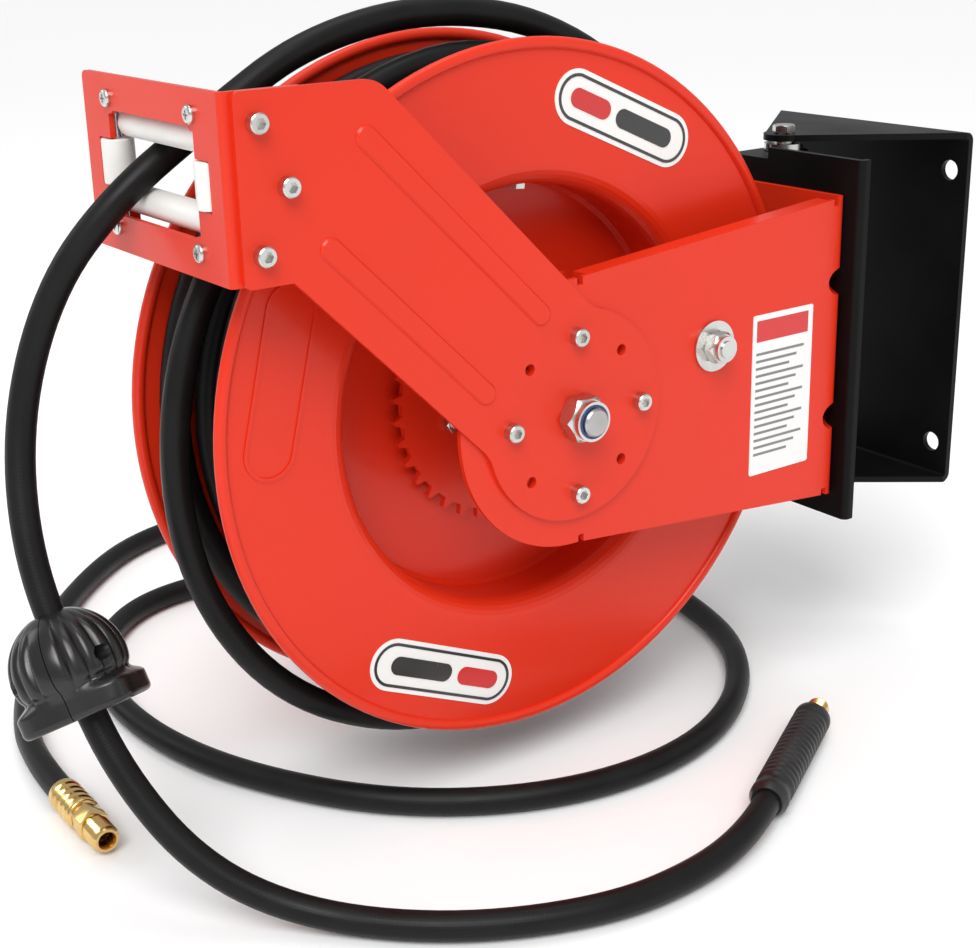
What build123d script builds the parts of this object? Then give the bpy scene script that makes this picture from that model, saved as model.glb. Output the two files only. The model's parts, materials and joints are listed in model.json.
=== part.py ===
"""Spring-rewind hose reel on a swivelling wall bracket.

Millimetres. The part's origin is the centre of the four wall holes on the back face of the wall
plate, +X points into the wall, -Y is the guide arm's side and +Z is up. Pieces are drawn about
the middle of the drum's axle and moved to their place from the wall by put().
"""
from build123d import *
import math
import os

os.makedirs("parts", exist_ok=True)

# ---- driving dimensions -------------------------------------------------------------------
# overall
FLANGE_R = 200.0         # drum flange
DRUM_HALF = 51.5         # half width of the drum over its rims
FRAME_W = 172.8          # over the outside of the frame's two side walls
WALL_GAP = 120.0         # back of the frame to the wall
AXLE_DROP = 3.0          # axle below the middle of the wall holes
HOSE_R = 8.0             # hose, outside

# wall bracket
WALL_W = 164.0           # wall plate width
WALL_H = 236.0           # wall plate height over the ears
WALL_T = 4.0             # wall plate thickness
WALL_HOLE_R = 6.5
WALL_SPACING_Y = WALL_W - 28.0
WALL_SPACING_Z = WALL_H - 51.0
PIVOT_FROM_WALL = 87.0   # swivel axis from the wall
EAR_TIP_R = 13.0
PIVOT_R = 4.0            # swivel bolt
PIVOT_AF = 13.0
PIVOT_HEAD_H = 5.3
PIVOT_NUT_H = 8.0
PIVOT_WASHER_R = 12.5
PIVOT_WASHER_T = 2.2

# swivel channel
CHANNEL_W = FRAME_W + 21.2
CHANNEL_H = WALL_H - 8.0
CHANNEL_T = 4.0
CHANNEL_LIP = 7.5
TONGUE_STEP = 7.0        # tongue face below the channel's edge
TONGUE_R = 16.0

# reel frame
FRAME_T = 3.0
FRAME_BACK = FLANGE_R + 12.0  # axle to the outside of the back wall
FRAME_BEND = 6.0
FRAME_END_R = 76.0       # round end about the axle
FRAME_HALF_H = 95.0      # half height at the back wall
FRAME_EDGE = 12.0        # folded edge
DART_R = 9.0             # pressed stiffening dart
DART_Z = 43.0            # dart height above and below the axle

# guide arm
ARM_T = 3.0
ARM_HUB_R = 60.0
ARM_HALF_W = 50.0
ARM_ANGLE = 135.0        # from +X, seen from the arm's side
ARM_FRONT = FLANGE_R - 3.0  # axle to the front edge
ARM_TOP = 0.955 * FLANGE_R
ARM_BOTTOM = ARM_TOP - 91.0
ARM_BLEND = 22.0
INDEX_R = 45.0           # index circle
INDEX_HOLES = 8
INDEX_HOLE_R = 3.25
RIB_W = 12.0
RIB_RISE = 1.4
RIB_OFFSET = 26.0
RIB_START = 60.0
RIB_ENDS = (FLANGE_R + 6.0, FLANGE_R - 14.0)  # roller window
WINDOW_FRONT = FLANGE_R + 2.5  # axle to the front face of the roller bracket
WINDOW_Y = 75.1 - FRAME_W / 2  # window centre
WINDOW_Z = ARM_TOP - 44.5
BRACKET_T = 3.0
BRACKET_FAR = WINDOW_Y + 76.3
BRACKET_H = 91.0
BRACKET_FLANGE = 42.0
ROLLER_R = 7.5
ROLLER_L = 93.0
SIDE_ROLLER_R = 8.5
SIDE_ROLLER_L = 23.0
ROLLER_SPREAD_Z = HOSE_R + ROLLER_R + 4.0
ROLLER_SPREAD_Y = 56.3
PIN_R = 2.5
RUNNING = 0.08           # radial running clearance
CAGE_T = 2.0
CAGE_DEPTH = 16.0
CAGE_SCREW_Y = 46.6
CAGE_SCREW_Z = ROLLER_SPREAD_Z + ROLLER_R + 5.5  # drum
RIM_R = 3.5              # rolled rim
DRUM_T = 1.5
PAN_LIP_R = 0.66 * FLANGE_R
PAN_R = PAN_LIP_R - 10.25  # middle of the pan wall
PAN_FLOOR = 12.0         # pan floor from the middle plane
BARREL_T = 1.5
BARREL_HALF = DRUM_HALF - RIM_R - 13.5
BARREL_GAP = 0.05
BOLT_ANGLE = 204.8
HUB_R = 15.0
BUSH_T = 3.0
AXLE_R = 8.0
AXLE_BORE_R = 3.5
AXLE_NUT_AF = 24.0
AXLE_NUT_H = 15.0
SEAT_GAP = 0.05          # between pieces of one body that only touch

# ratchet and pawl
TEETH = 36
RATCHET_R = PAN_R - 44.75
TOOTH_DEPTH = 5.5
RATCHET_T = 4.0
RATCHET_OFF = 6.0        # its boss lifts it off the pan's floor
PAWL_X = PAN_R - 17.75
PAWL_Z = 21.0
PAWL_REACH = 36.0        # pivot to the tip
PAWL_LIFTED = 45.0       # pawl from the line to the axle when it is clear of the teeth
PAWL_IN = 24.0           # and when it is between two teeth
PAWL_T = 3.2
PAWL_PIN_R = 5.0

# spring case
CASE_R = PAN_R - 25.75
CASE_DEPTH = 33.0
SPRING_TURNS = 7
SPRING_T = 1.2

# hose
COIL_IN_R = PAN_R + 6.25
COIL_LOW_R = FLANGE_R - 24.0  # outside of the turns beside the loose turn
COIL_HIGH_R = FLANGE_R - 7.5  # outside of the turns that fill the far side
COIL_HALF = DRUM_HALF - 6.0
COIL_STEP_Y = 16.0
FLOOR_Z = -FLANGE_R - 33.0  # surface that the free hose lies on, from the axle
FERRULE_R = HOSE_R + 2.0
INLET_Y = FRAME_W / 2 + 25.6
STOPPER_R = 30.5
STOPPER_SCREW_Y = 17.0   # stopper's clamp screws, each side of the hose
GRIP_R = HOSE_R + 3.5    # ribbed sleeve at the end of the hose
GRIP_L = 112.0

# ---- derived places -----------------------------------------------------------------------
NEAR_OUT = -FRAME_W / 2                # outside of the near frame wall
NEAR_IN = NEAR_OUT + FRAME_T
ARM_OUT = NEAR_OUT - ARM_T             # outside of the guide arm
REACH = FRAME_BACK + WALL_GAP          # wall to drum axle
WALL_BACK = REACH
WALL_FRONT = REACH - WALL_T
PIVOT_X = REACH - PIVOT_FROM_WALL
MID_Z = AXLE_DROP                      # middle of the bracket, from the axle
WEB_X = FRAME_BACK                     # front face of the channel's web
FLOOR_LINE = FLOOR_Z + HOSE_R + 0.5    # centre line of hose on the floor


def poly(*points):
    """Polygon through points given in place, always wound anticlockwise."""
    pairs = zip(points, points[1:] + points[:1])
    area = sum(a[0] * b[1] - b[0] * a[1] for a, b in pairs)
    return Polygon(*(points if area > 0 else points[::-1]), align=None)


def put(node, shape):
    """Move a shape from the axle's frame to the part's frame and write it."""
    solids = shape if isinstance(shape, list) else [shape]
    moved = [Pos(-REACH, 0, -AXLE_DROP) * item for item in solids]
    body = moved[0] if len(moved) == 1 else Compound(children=moved)
    export_step(body, f"parts/{node}.step")


def on_xz(sketch, y0, y1):
    """Extrude a sketch drawn in X and Z from y0 to y1."""
    return extrude(Plane.XZ.offset(-y1) * sketch, amount=y1 - y0)


def on_yz(sketch, x0, x1):
    """Extrude a sketch drawn in Y and Z from x0 to x1."""
    return extrude(Plane.YZ.offset(x0) * sketch, amount=x1 - x0)


def on_xy(sketch, z0, z1):
    """Extrude a sketch drawn in X and Y from z0 to z1."""
    return extrude(Plane.XY.offset(z0) * sketch, amount=z1 - z0)


def rod(r, a, b):
    """Cylinder between two points."""
    a, b = Vector(*a), Vector(*b)
    return extrude(Plane(origin=a, z_dir=b - a) * Circle(r), amount=(b - a).length)


def disc_y(r, y0, y1, x=0.0, z=0.0, bore=0.0):
    """Disc or ring about an axis along Y."""
    face = Pos(x, z) * Circle(r)
    if bore:
        face -= Pos(x, z) * Circle(bore)
    return on_xz(face, y0, y1)


def hexagon(af):
    """Hexagon sketch of a given size across its flats."""
    return RegularPolygon(af / math.sqrt(3), 6)


def hex_nut_y(af, y0, y1, x, z, bore):
    """Hexagon nut about an axis along Y, with its corners turned off."""
    blank = on_xz(Pos(x, z) * hexagon(af), y0, y1)
    rim = 0.58 * af
    cone = rod(rim, (x, y0, z), (x, y1, z))
    cone = chamfer(cone.edges(), 0.09 * af)
    return (blank & cone) - disc_y(bore, y0 - 1, y1 + 1, x, z)


def hex_nut_z(af, z0, z1, x, y, bore):
    """Hexagon nut or head about an axis along Z."""
    blank = on_xy(Pos(x, y) * hexagon(af), z0, z1)
    cone = chamfer(rod(0.58 * af, (x, y, z0), (x, y, z1)).edges(), 0.08 * af)
    solid = blank & cone
    return solid - rod(bore, (x, y, z0 - 1), (x, y, z1 + 1)) if bore else solid


def socket_screw_y(x, z, seat, end, r=3.0, head_r=5.0, head_h=6.0, socket=5.0):
    """Socket-head screw whose head stands on y = seat, towards -Y, with its shank to y = end."""
    head = disc_y(head_r, seat - head_h, seat, x, z)
    head = chamfer(head.faces().sort_by(Axis.Y)[0].edges(), 0.6)
    head -= on_xz(Pos(x, z) * hexagon(socket), seat - head_h - 1, seat - head_h / 2)
    return head + disc_y(r, seat - 0.01, end, x, z)


def stadium(length, width, x, z, angle):
    """Slot-shaped sketch about (x, z), with its long way at an angle to +X."""
    return Pos(x, z) * Rot(0, 0, angle) * SlotOverall(length, width)


def polar(r, angle):
    """Point at a radius and an angle in degrees."""
    return (r * math.cos(math.radians(angle)), r * math.sin(math.radians(angle)))


# ---- wall bracket -------------------------------------------------------------------------
def wall_bracket():
    """Plate on the wall with a folded ear at its top and bottom."""
    z0, z1 = MID_Z - WALL_H / 2, MID_Z + WALL_H / 2
    tip = PIVOT_X - EAR_TIP_R - 2
    side = poly((tip, z0), (WALL_BACK, z0), (WALL_BACK, z1), (tip, z1))
    side = fillet(side.vertices().filter_by(lambda v: v.X > WALL_FRONT), WALL_T + 2)
    inner = poly((tip - 1, z0 + WALL_T), (WALL_FRONT, z0 + WALL_T), (WALL_FRONT, z1 - WALL_T),
                    (tip - 1, z1 - WALL_T))
    inner = fillet(inner.vertices().filter_by(lambda v: v.X > tip), 2)
    sheet = on_xz(side - inner, -WALL_W / 2, WALL_W / 2)
    half = WALL_W / 2
    plan = poly((WALL_BACK + 1, -half), (WALL_BACK + 1, half), (WALL_FRONT - 2, half),
                   (PIVOT_X - 3, EAR_TIP_R), (PIVOT_X - 3, -EAR_TIP_R), (WALL_FRONT - 2, -half))
    plan += Pos(PIVOT_X, 0) * Circle(EAR_TIP_R)
    sheet &= on_xy(plan, z0 - 1, z1 + 1)
    for y in (-WALL_SPACING_Y / 2, WALL_SPACING_Y / 2):
        for z in (MID_Z - WALL_SPACING_Z / 2, MID_Z + WALL_SPACING_Z / 2):
            sheet -= rod(WALL_HOLE_R, (WALL_FRONT - 5, y, z), (WALL_BACK + 5, y, z))
    sheet -= rod(PIVOT_R + SEAT_GAP, (PIVOT_X, 0, z0 - 1), (PIVOT_X, 0, z1 + 1))
    return sheet


def about_mid(z):
    """Height of the mirror image of z below the bracket's middle."""
    return 2 * MID_Z - z


EAR_TOP = MID_Z + WALL_H / 2
EAR_IN = EAR_TOP - WALL_T
WEB_TOP = MID_Z + CHANNEL_H / 2
TONGUE_TOP = WEB_TOP - TONGUE_STEP
TONGUE_UNDER = TONGUE_TOP - CHANNEL_T
AXIAL = 0.5              # end play between the pieces of the swivel


def pivot_bolt(flip):
    """Swivel bolt with its head on the ear."""
    end = TONGUE_UNDER - AXIAL - PIVOT_NUT_H - 3
    levels = [EAR_TOP, EAR_TOP + PIVOT_HEAD_H, end]
    if flip:
        levels = [about_mid(z) for z in levels]
    seat, head, tail = levels
    low, high = sorted((seat, head))
    bolt = hex_nut_z(PIVOT_AF, low, high, PIVOT_X, 0, 0)
    return bolt + rod(PIVOT_R, (PIVOT_X, 0, seat), (PIVOT_X, 0, tail))


def pivot_rings(flip):
    """Two washers and a distance ring between an ear and a tongue."""
    z = TONGUE_TOP + AXIAL
    rings = []
    for _ in range(2):
        rings.append((PIVOT_WASHER_R, z, z + PIVOT_WASHER_T))
        z += PIVOT_WASHER_T
    if EAR_IN - z > 0.2:
        rings.append((PIVOT_R + 3, z, EAR_IN))
    made = []
    for r, low, high in rings:
        if flip:
            low, high = about_mid(high), about_mid(low)
        ring = rod(r, (PIVOT_X, 0, low), (PIVOT_X, 0, high))
        made.append(ring - rod(PIVOT_R + SEAT_GAP, (PIVOT_X, 0, low - 1), (PIVOT_X, 0, high + 1)))
    return made


def pivot_nut(flip):
    """Lock nut on the swivel bolt, clear of the tongue."""
    low, high = TONGUE_UNDER - AXIAL - PIVOT_NUT_H, TONGUE_UNDER - AXIAL
    if flip:
        low, high = about_mid(high), about_mid(low)
    return hex_nut_z(PIVOT_AF, low, high, PIVOT_X, 0, PIVOT_R + SEAT_GAP)


# ---- swivel channel and reel frame --------------------------------------------------------
def swivel_channel():
    """Black channel: web, two side lips and two tongues on the swivel bolts."""
    half = CHANNEL_W / 2
    z0, z1 = about_mid(WEB_TOP), WEB_TOP
    outer = poly((WEB_X, -half), (WEB_X + CHANNEL_LIP, -half), (WEB_X + CHANNEL_LIP, half),
                    (WEB_X, half))
    outer = fillet(outer.vertices().filter_by(lambda v: v.X < WEB_X + 1), CHANNEL_T)
    inner = poly((WEB_X + CHANNEL_T, CHANNEL_T - half), (WEB_X + CHANNEL_LIP + 1, CHANNEL_T - half),
                    (WEB_X + CHANNEL_LIP + 1, half - CHANNEL_T), (WEB_X + CHANNEL_T, half - CHANNEL_T))
    sheet = on_xy(outer - inner, z0, z1)
    tongue = poly((WEB_X + 1, -TONGUE_R), (PIVOT_X, -TONGUE_R), (PIVOT_X, TONGUE_R),
                     (WEB_X + 1, TONGUE_R)) + Pos(PIVOT_X, 0) * Circle(TONGUE_R)
    for top in (TONGUE_TOP, about_mid(TONGUE_UNDER)):
        sheet += on_xy(tongue, top - CHANNEL_T, top)
    bite = TONGUE_STEP
    sheet -= Pos(WEB_X, 0, z1) * Box(3 * CHANNEL_T, 2 * TONGUE_R + 6, 2 * bite)
    sheet -= Pos(WEB_X, 0, z0) * Box(3 * CHANNEL_T, 2 * TONGUE_R + 6, 2 * bite)
    sheet -= rod(PIVOT_R + RUNNING, (PIVOT_X, 0, z0 - 5), (PIVOT_X, 0, z1 + 5))
    for y, z in FRAME_BOLTS:
        sheet -= rod(4 + SEAT_GAP, (WEB_X - 5, y, z), (WEB_X + 10, y, z))
    return sheet


FRAME_BOLTS = [(y, z) for y in (-62.0, 62.0) for z in (-70.0, 76.0)]


def frame_side(grow=0.0):
    """Side outline of the reel frame: round end and a taper that opens towards the wall."""
    top = FRAME_HALF_H + grow
    start = FRAME_END_R + grow
    taper = poly((2, start), (FRAME_BACK, top), (FRAME_BACK, -top), (2, -start))
    return Circle(FRAME_END_R) + taper


def reel_frame():
    """Red frame folded from one sheet: near wall, back wall and far wall."""
    out, inn = FRAME_W / 2, FRAME_W / 2 - FRAME_T
    back = FRAME_BACK - FRAME_T
    reach = -FRAME_END_R - 5
    outer = poly((reach, -out), (FRAME_BACK, -out), (FRAME_BACK, out), (reach, out))
    outer = fillet(outer.vertices().filter_by(lambda v: v.X > 0), FRAME_BEND)
    inner = poly((reach - 1, -inn), (back, -inn), (back, inn), (reach - 1, inn))
    inner = fillet(inner.vertices().filter_by(lambda v: v.X > 0), FRAME_BEND - FRAME_T)
    height = FRAME_HALF_H + 5
    sheet = on_xy(outer - inner, -height, height) & on_xz(frame_side(), -out - 1, out + 1)
    slope = (FRAME_HALF_H - FRAME_END_R) / (FRAME_BACK - 2)
    x0, x1 = 10.0, FRAME_BACK - FRAME_BEND - 8
    for sign in (1, -1):
        z0, z1 = FRAME_END_R + slope * x0, FRAME_END_R + slope * x1
        strip = poly((x0, sign * z0), (x1, sign * z1), (x1, sign * (z1 - FRAME_T)),
                        (x0, sign * (z0 - FRAME_T)))
        sheet += on_xz(strip, -out + 0.4, -out + FRAME_EDGE)
        sheet += on_xz(strip, out - FRAME_EDGE, out - 0.4)
    for x in (5.0, FRAME_BACK - 9):
        for sign in (1, -1):
            edge = FRAME_END_R + slope * x
            sheet -= Pos(x, 0, sign * edge) * Box(4, 2 * FRAME_W, 9)
    for side in (-1, 1):
        for z in (DART_Z, -DART_Z):
            corner = Vector(FRAME_BACK, side * out, z)
            run = Vector(1, side * -1, 0).normalized() * 30
            a, b = corner - run, corner + run
            tool = rod(DART_R, a, b)
            shell = rod(DART_R + FRAME_T, a, b) - tool
            keep = Box(60, FRAME_W, 60, align=(Align.MAX, Align.CENTER, Align.CENTER))
            sheet -= tool
            sheet += shell & (Pos(FRAME_BACK - 0.5, 0, z) * keep) & on_xy(outer, z - 30, z + 30)
    for y, z in FRAME_BOLTS:
        sheet -= rod(4 + SEAT_GAP, (back - 5, y, z), (FRAME_BACK + 5, y, z))
    sheet -= disc_y(AXLE_R + SEAT_GAP, -out - 1, out + 1)
    for x, z in index_points():
        sheet -= disc_y(INDEX_HOLE_R, -out - 1, out + 1, x, z)
    sheet -= disc_y(PAWL_PIN_R + SEAT_GAP, -out - 1, 0, PAWL_X, PAWL_Z)
    return sheet


def frame_bolts():
    """Screws that hold the frame to the channel, with their nuts behind the web."""
    made = []
    for y, z in FRAME_BOLTS:
        x = FRAME_BACK - FRAME_T
        head = extrude(Plane(origin=(x - 3.5, y, z), z_dir=(1, 0, 0)) * hexagon(13), amount=3.5)
        nut = extrude(Plane(origin=(WEB_X + CHANNEL_T, y, z), z_dir=(1, 0, 0)) * hexagon(13), amount=6.5)
        made.append(head + rod(4, (x - 1, y, z), (WEB_X + CHANNEL_T + 8, y, z)) + nut)
    return made


# ---- guide arm ----------------------------------------------------------------------------
def index_points():
    """Holes of the index circle, in X and Z."""
    return [polar(INDEX_R, k * 360 / INDEX_HOLES) for k in range(INDEX_HOLES)]


def arm_outline():
    """Round hub, slanted band and square head, joined by tangent blends."""
    turn = math.radians(ARM_ANGLE)
    along = Vector(math.cos(turn), math.sin(turn))
    up = Vector(along.Y, -along.X)
    reach = math.sqrt((ARM_HUB_R + ARM_BLEND) ** 2 - (ARM_HALF_W + ARM_BLEND) ** 2)
    edges = []
    ends = {}
    for side in (1, -1):
        centre = along * reach + up * (side * (ARM_HALF_W + ARM_BLEND))
        on_line = along * reach + up * (side * ARM_HALF_W)
        on_hub = centre * (ARM_HUB_R / (ARM_HUB_R + ARM_BLEND))
        middle = centre + ((on_line - centre) + (on_hub - centre)).normalized() * ARM_BLEND
        level = ARM_TOP if side > 0 else ARM_BOTTOM
        step = (level - side * ARM_HALF_W * up.Y) / along.Y
        corner = along * step + up * (side * ARM_HALF_W)
        front = Vector(-ARM_FRONT, level)
        edges += [Line(front, corner), Line(corner, on_line), ThreePointArc(on_line, middle, on_hub)]
        ends[side] = (front, on_hub)
    edges.append(ThreePointArc(ends[1][1], along * -ARM_HUB_R, ends[-1][1]))
    edges.append(Line(ends[1][0], ends[-1][0]))
    arm = make_face(edges)
    shoulder = [v for v in arm.vertices() if abs(v.Y - ARM_TOP) < 0.5 and v.X > -ARM_FRONT + 1]
    arm = fillet(shoulder, 18)
    front = [v for v in arm.vertices() if v.X < -ARM_FRONT + 0.5]
    return fillet(front, 4)


def ribs(width, trim=0.0):
    """Two pressed ribs along the arm."""
    turn = math.radians(ARM_ANGLE)
    along = Vector(math.cos(turn), math.sin(turn))
    across = Vector(-along.Y, along.X)
    made = []
    for side, end in zip((-1, 1), RIB_ENDS):
        mid = along * ((RIB_START + end) / 2) + across * (side * RIB_OFFSET)
        made.append(stadium(end - RIB_START + RIB_W - trim, width, mid.X, mid.Y, ARM_ANGLE))
    return made


HEAD_SCREWS = [(10.5 - ARM_FRONT, WINDOW_Z + 30), (25 - ARM_FRONT, WINDOW_Z - 0.5),
               (10 - ARM_FRONT, WINDOW_Z - 31)]


def guide_arm():
    """Arm plate that carries the roller bracket."""
    arm = on_xz(arm_outline(), ARM_OUT, NEAR_OUT)
    for rib in ribs(RIB_W):
        raised = on_xz(rib, ARM_OUT - RIB_RISE, ARM_OUT + 0.5)
        arm += chamfer(raised.faces().sort_by(Axis.Y)[0].edges(), RIB_RISE * 0.8)
    for groove in ribs(RIB_W - 4, 4):
        arm -= on_xz(groove, NEAR_OUT - RIB_RISE, NEAR_OUT + 1)
    arm -= disc_y(AXLE_R + SEAT_GAP, ARM_OUT - 1, NEAR_OUT + 1)
    for x, z in index_points():
        arm -= disc_y(INDEX_HOLE_R, ARM_OUT - 1, NEAR_OUT + 1, x, z)
    for x, z in HEAD_SCREWS:
        arm -= disc_y(INDEX_HOLE_R, ARM_OUT - 3, NEAR_OUT + 1, x, z)
    return arm


def arm_screws():
    """Four socket screws on every second index hole."""
    return [socket_screw_y(x, z, ARM_OUT, NEAR_IN + 8) for x, z in index_points()[::2]]


def arm_nuts():
    """Nuts behind the near frame wall."""
    return [hex_nut_y(10, NEAR_IN, NEAR_IN + 5, x, z, 3 + SEAT_GAP) for x, z in index_points()[::2]]


def head_screws():
    """Three socket screws that hold the roller bracket."""
    return [socket_screw_y(x, z, ARM_OUT, NEAR_OUT + BRACKET_T + 7) for x, z in HEAD_SCREWS]


def head_nuts():
    """Their nuts, inside the bracket's flange."""
    y = NEAR_OUT + BRACKET_T
    return [hex_nut_y(10, y, y + 5, x, z, 3 + SEAT_GAP) for x, z in HEAD_SCREWS]


# ---- roller window ------------------------------------------------------------------------
def cage_screw_places():
    """Corner screws of the roller window, in Y and Z."""
    return [(WINDOW_Y + a * CAGE_SCREW_Y, WINDOW_Z + b * CAGE_SCREW_Z)
            for a in (-1, 1) for b in (-1, 1)]


def window_opening(gap):
    """Window outline in Y and Z: room for four rollers, scalloped round the corner screws."""
    tall = 2 * (ROLLER_SPREAD_Z + ROLLER_R - 1.0 + gap)
    wide = 2 * (ROLLER_SPREAD_Y - SIDE_INSET + SIDE_ROLLER_R - 0.5 + gap)
    opening = Pos(WINDOW_Y, WINDOW_Z) * Rectangle(ROLLER_L + 2 * gap, tall)
    for y, z in cage_screw_places():
        opening -= Pos(y, z) * Circle(8.5 - gap)
    return opening + Pos(WINDOW_Y, WINDOW_Z) * Rectangle(wide, SIDE_ROLLER_L + 2 * gap)


def roller_bracket():
    """Front plate with the window and a flange inside the arm."""
    low, high = ARM_TOP - BRACKET_H + 1, ARM_TOP
    y0 = NEAR_OUT
    plan = poly((-WINDOW_FRONT, y0), (-WINDOW_FRONT + BRACKET_FLANGE, y0),
                   (-WINDOW_FRONT + BRACKET_FLANGE, y0 + BRACKET_T),
                   (-WINDOW_FRONT + BRACKET_T, y0 + BRACKET_T), (-WINDOW_FRONT + BRACKET_T, BRACKET_FAR),
                   (-WINDOW_FRONT, BRACKET_FAR))
    plate = on_xy(plan, low, high)
    bend = [e for e in plate.edges().filter_by(Axis.Z)
            if e.center().X < -WINDOW_FRONT + 0.1 and e.center().Y < y0 + 0.1]
    plate = fillet(bend, 2.8)
    corners = [e for e in plate.edges().filter_by(Axis.X) if e.center().Y > BRACKET_FAR - 0.1]
    plate = fillet(corners, 4)
    plate -= on_yz(window_opening(0.6), -WINDOW_FRONT - 1, -WINDOW_FRONT + BRACKET_T + 1)
    for y, z in cage_screw_places():
        plate -= rod(PIN_R + SEAT_GAP, (-WINDOW_FRONT - 1, y, z), (-WINDOW_FRONT + 5, y, z))
    for x, z in HEAD_SCREWS:
        plate -= disc_y(INDEX_HOLE_R, y0 - 1, y0 + BRACKET_T + 1, x, z)
    return plate


CAGE_FRONT = -WINDOW_FRONT + BRACKET_T
CAGE_HALF_Y = ROLLER_SPREAD_Y + 5.3 + CAGE_T
CAGE_HALF_Z = CAGE_SCREW_Z + 5.5 + CAGE_T
SIDE_ROLLER_X = 6.0 - WINDOW_FRONT     # the side rollers stand a little proud of the bracket
ROLLER_X = SIDE_ROLLER_X + 2 * PIN_R + 0.6


def roller_cage():
    """Inner cage: a plate behind the window and four walls that hold the pins."""
    outer = Rectangle(2 * CAGE_HALF_Y, 2 * CAGE_HALF_Z)
    inner = Rectangle(2 * (CAGE_HALF_Y - CAGE_T), 2 * (CAGE_HALF_Z - CAGE_T))
    place = Pos(WINDOW_Y, WINDOW_Z)
    cage = on_yz(place * (outer - inner), CAGE_FRONT, CAGE_FRONT + CAGE_DEPTH)
    slot = Rectangle(2 * (CAGE_HALF_Y - CAGE_T), 2 * (ROLLER_SPREAD_Z + ROLLER_R + 0.6))
    front = place * (outer - slot)
    cage += on_yz(front, CAGE_FRONT, CAGE_FRONT + CAGE_T)
    for y, z in cage_screw_places():
        cage -= rod(PIN_R + SEAT_GAP, (CAGE_FRONT - 1, y, z), (CAGE_FRONT + 5, y, z))
    for part in pin_rods(PIN_R + SEAT_GAP, 1.0):
        cage -= part
    return cage


def pin_rods(r, extra):
    """The four roller pins as rods of one radius."""
    made = []
    end_y, end_z = CAGE_HALF_Y + extra, CAGE_HALF_Z + extra
    for side in (-1, 1):
        z = WINDOW_Z + side * ROLLER_SPREAD_Z
        made.append(rod(r, (ROLLER_X, WINDOW_Y - end_y, z), (ROLLER_X, WINDOW_Y + end_y, z)))
        y = WINDOW_Y + side * (ROLLER_SPREAD_Y - SIDE_INSET)
        made.append(rod(r, (SIDE_ROLLER_X, y, WINDOW_Z - end_z), (SIDE_ROLLER_X, y, WINDOW_Z + end_z)))
    return made


SIDE_INSET = 4.0


def roller(r, length, along_y, x, y, z):
    """Plastic roller with a bore and slightly rounded ends."""
    half = length / 2
    step = (0, half, 0) if along_y else (0, 0, half)
    a = (x, y - step[1], z - step[2])
    b = (x, y + step[1], z + step[2])
    body = fillet(rod(r, a, b).edges(), 0.8)
    return body - rod(PIN_R + RUNNING, a, b)


def cage_screws():
    """Cross-recess screws at the window's corners."""
    made = []
    for y, z in cage_screw_places():
        head = rod(4.6, (-WINDOW_FRONT - 2.8, y, z), (-WINDOW_FRONT, y, z))
        head = fillet(head.faces().sort_by(Axis.X)[0].edges(), 1.6)
        for turn in (0, 90):
            slot = Pos(-WINDOW_FRONT - 2.8, y, z) * Rot(turn, 0, 0) * Box(2.6, 4.2, 1.0)
            head -= slot
        made.append(head + rod(PIN_R, (-WINDOW_FRONT - 0.01, y, z), (CAGE_FRONT + 6, y, z)))
    return made


# ---- axle and its fittings ----------------------------------------------------------------
AXLE_NEAR = ARM_OUT - AXLE_NUT_H - 3
AXLE_FAR = INLET_Y - 4
COVER_Y = 13.5 + CASE_DEPTH


def axle():
    """Fixed axle: solid near end, bored from the far end to the rotary joint."""
    shaft = chamfer(disc_y(AXLE_R, AXLE_NEAR, AXLE_FAR).edges(), 1)
    shaft -= disc_y(AXLE_BORE_R, 0, AXLE_FAR + 1)
    return shaft - rod(2.0, (0, 3.5, 1), (0, 3.5, AXLE_R + 1))


def axle_nut():
    """Big lock nut on the near end of the axle."""
    y0, y1 = ARM_OUT - AXLE_NUT_H, ARM_OUT
    nut = hex_nut_y(AXLE_NUT_AF, y0 + 4, y1, 0, 0, AXLE_R + SEAT_GAP)
    collar = disc_y(AXLE_NUT_AF / 2 - 0.8, y0, y0 + 4.5, 0, 0, AXLE_R + SEAT_GAP)
    return nut + collar


def axle_spacers():
    """Spacer tubes between the frame walls and the drum's bushes."""
    near = disc_y(AXLE_R + 4, NEAR_IN, -BUSH_OUT - 0.5, bore=AXLE_R + SEAT_GAP)
    far = disc_y(AXLE_R + 4, COVER_Y + BUSH_T + 3.5, -NEAR_IN, bore=AXLE_R + SEAT_GAP)
    return [near, far]


BUSH_OUT = 47.0          # outer face of the near bush's flange


def hub_bush(y0, y1, flange0, flange1):
    """Flanged plain bush that runs on the axle."""
    body = disc_y(AXLE_R + BUSH_T, y0, y1) + disc_y(AXLE_R + BUSH_T + 3, flange0, flange1)
    return body - disc_y(AXLE_R + RUNNING, min(y0, flange0) - 1, max(y1, flange1) + 1)


HUB_NEAR = -BUSH_OUT + 2
HUB_FAR = PAN_FLOOR + 3
ARBOR_NEAR = HUB_FAR + 2
ARBOR_FAR = COVER_Y - 3


def hub_tube():
    """Hub that carries both pan floors."""
    tube = disc_y(HUB_R, HUB_NEAR, HUB_FAR, bore=AXLE_R + BUSH_T + SEAT_GAP)
    return tube - rod(3, (0, 0, 0), (0, 0, HUB_R + 2))


def spring_arbor():
    """Collar on the fixed axle that holds the spring's inner end."""
    collar = disc_y(AXLE_R + 6, ARBOR_NEAR, ARBOR_FAR, bore=AXLE_R + SEAT_GAP)
    return collar - Pos(AXLE_R + 6, (ARBOR_NEAR + ARBOR_FAR) / 2, 0) * Box(4, 30, 2)


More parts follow.
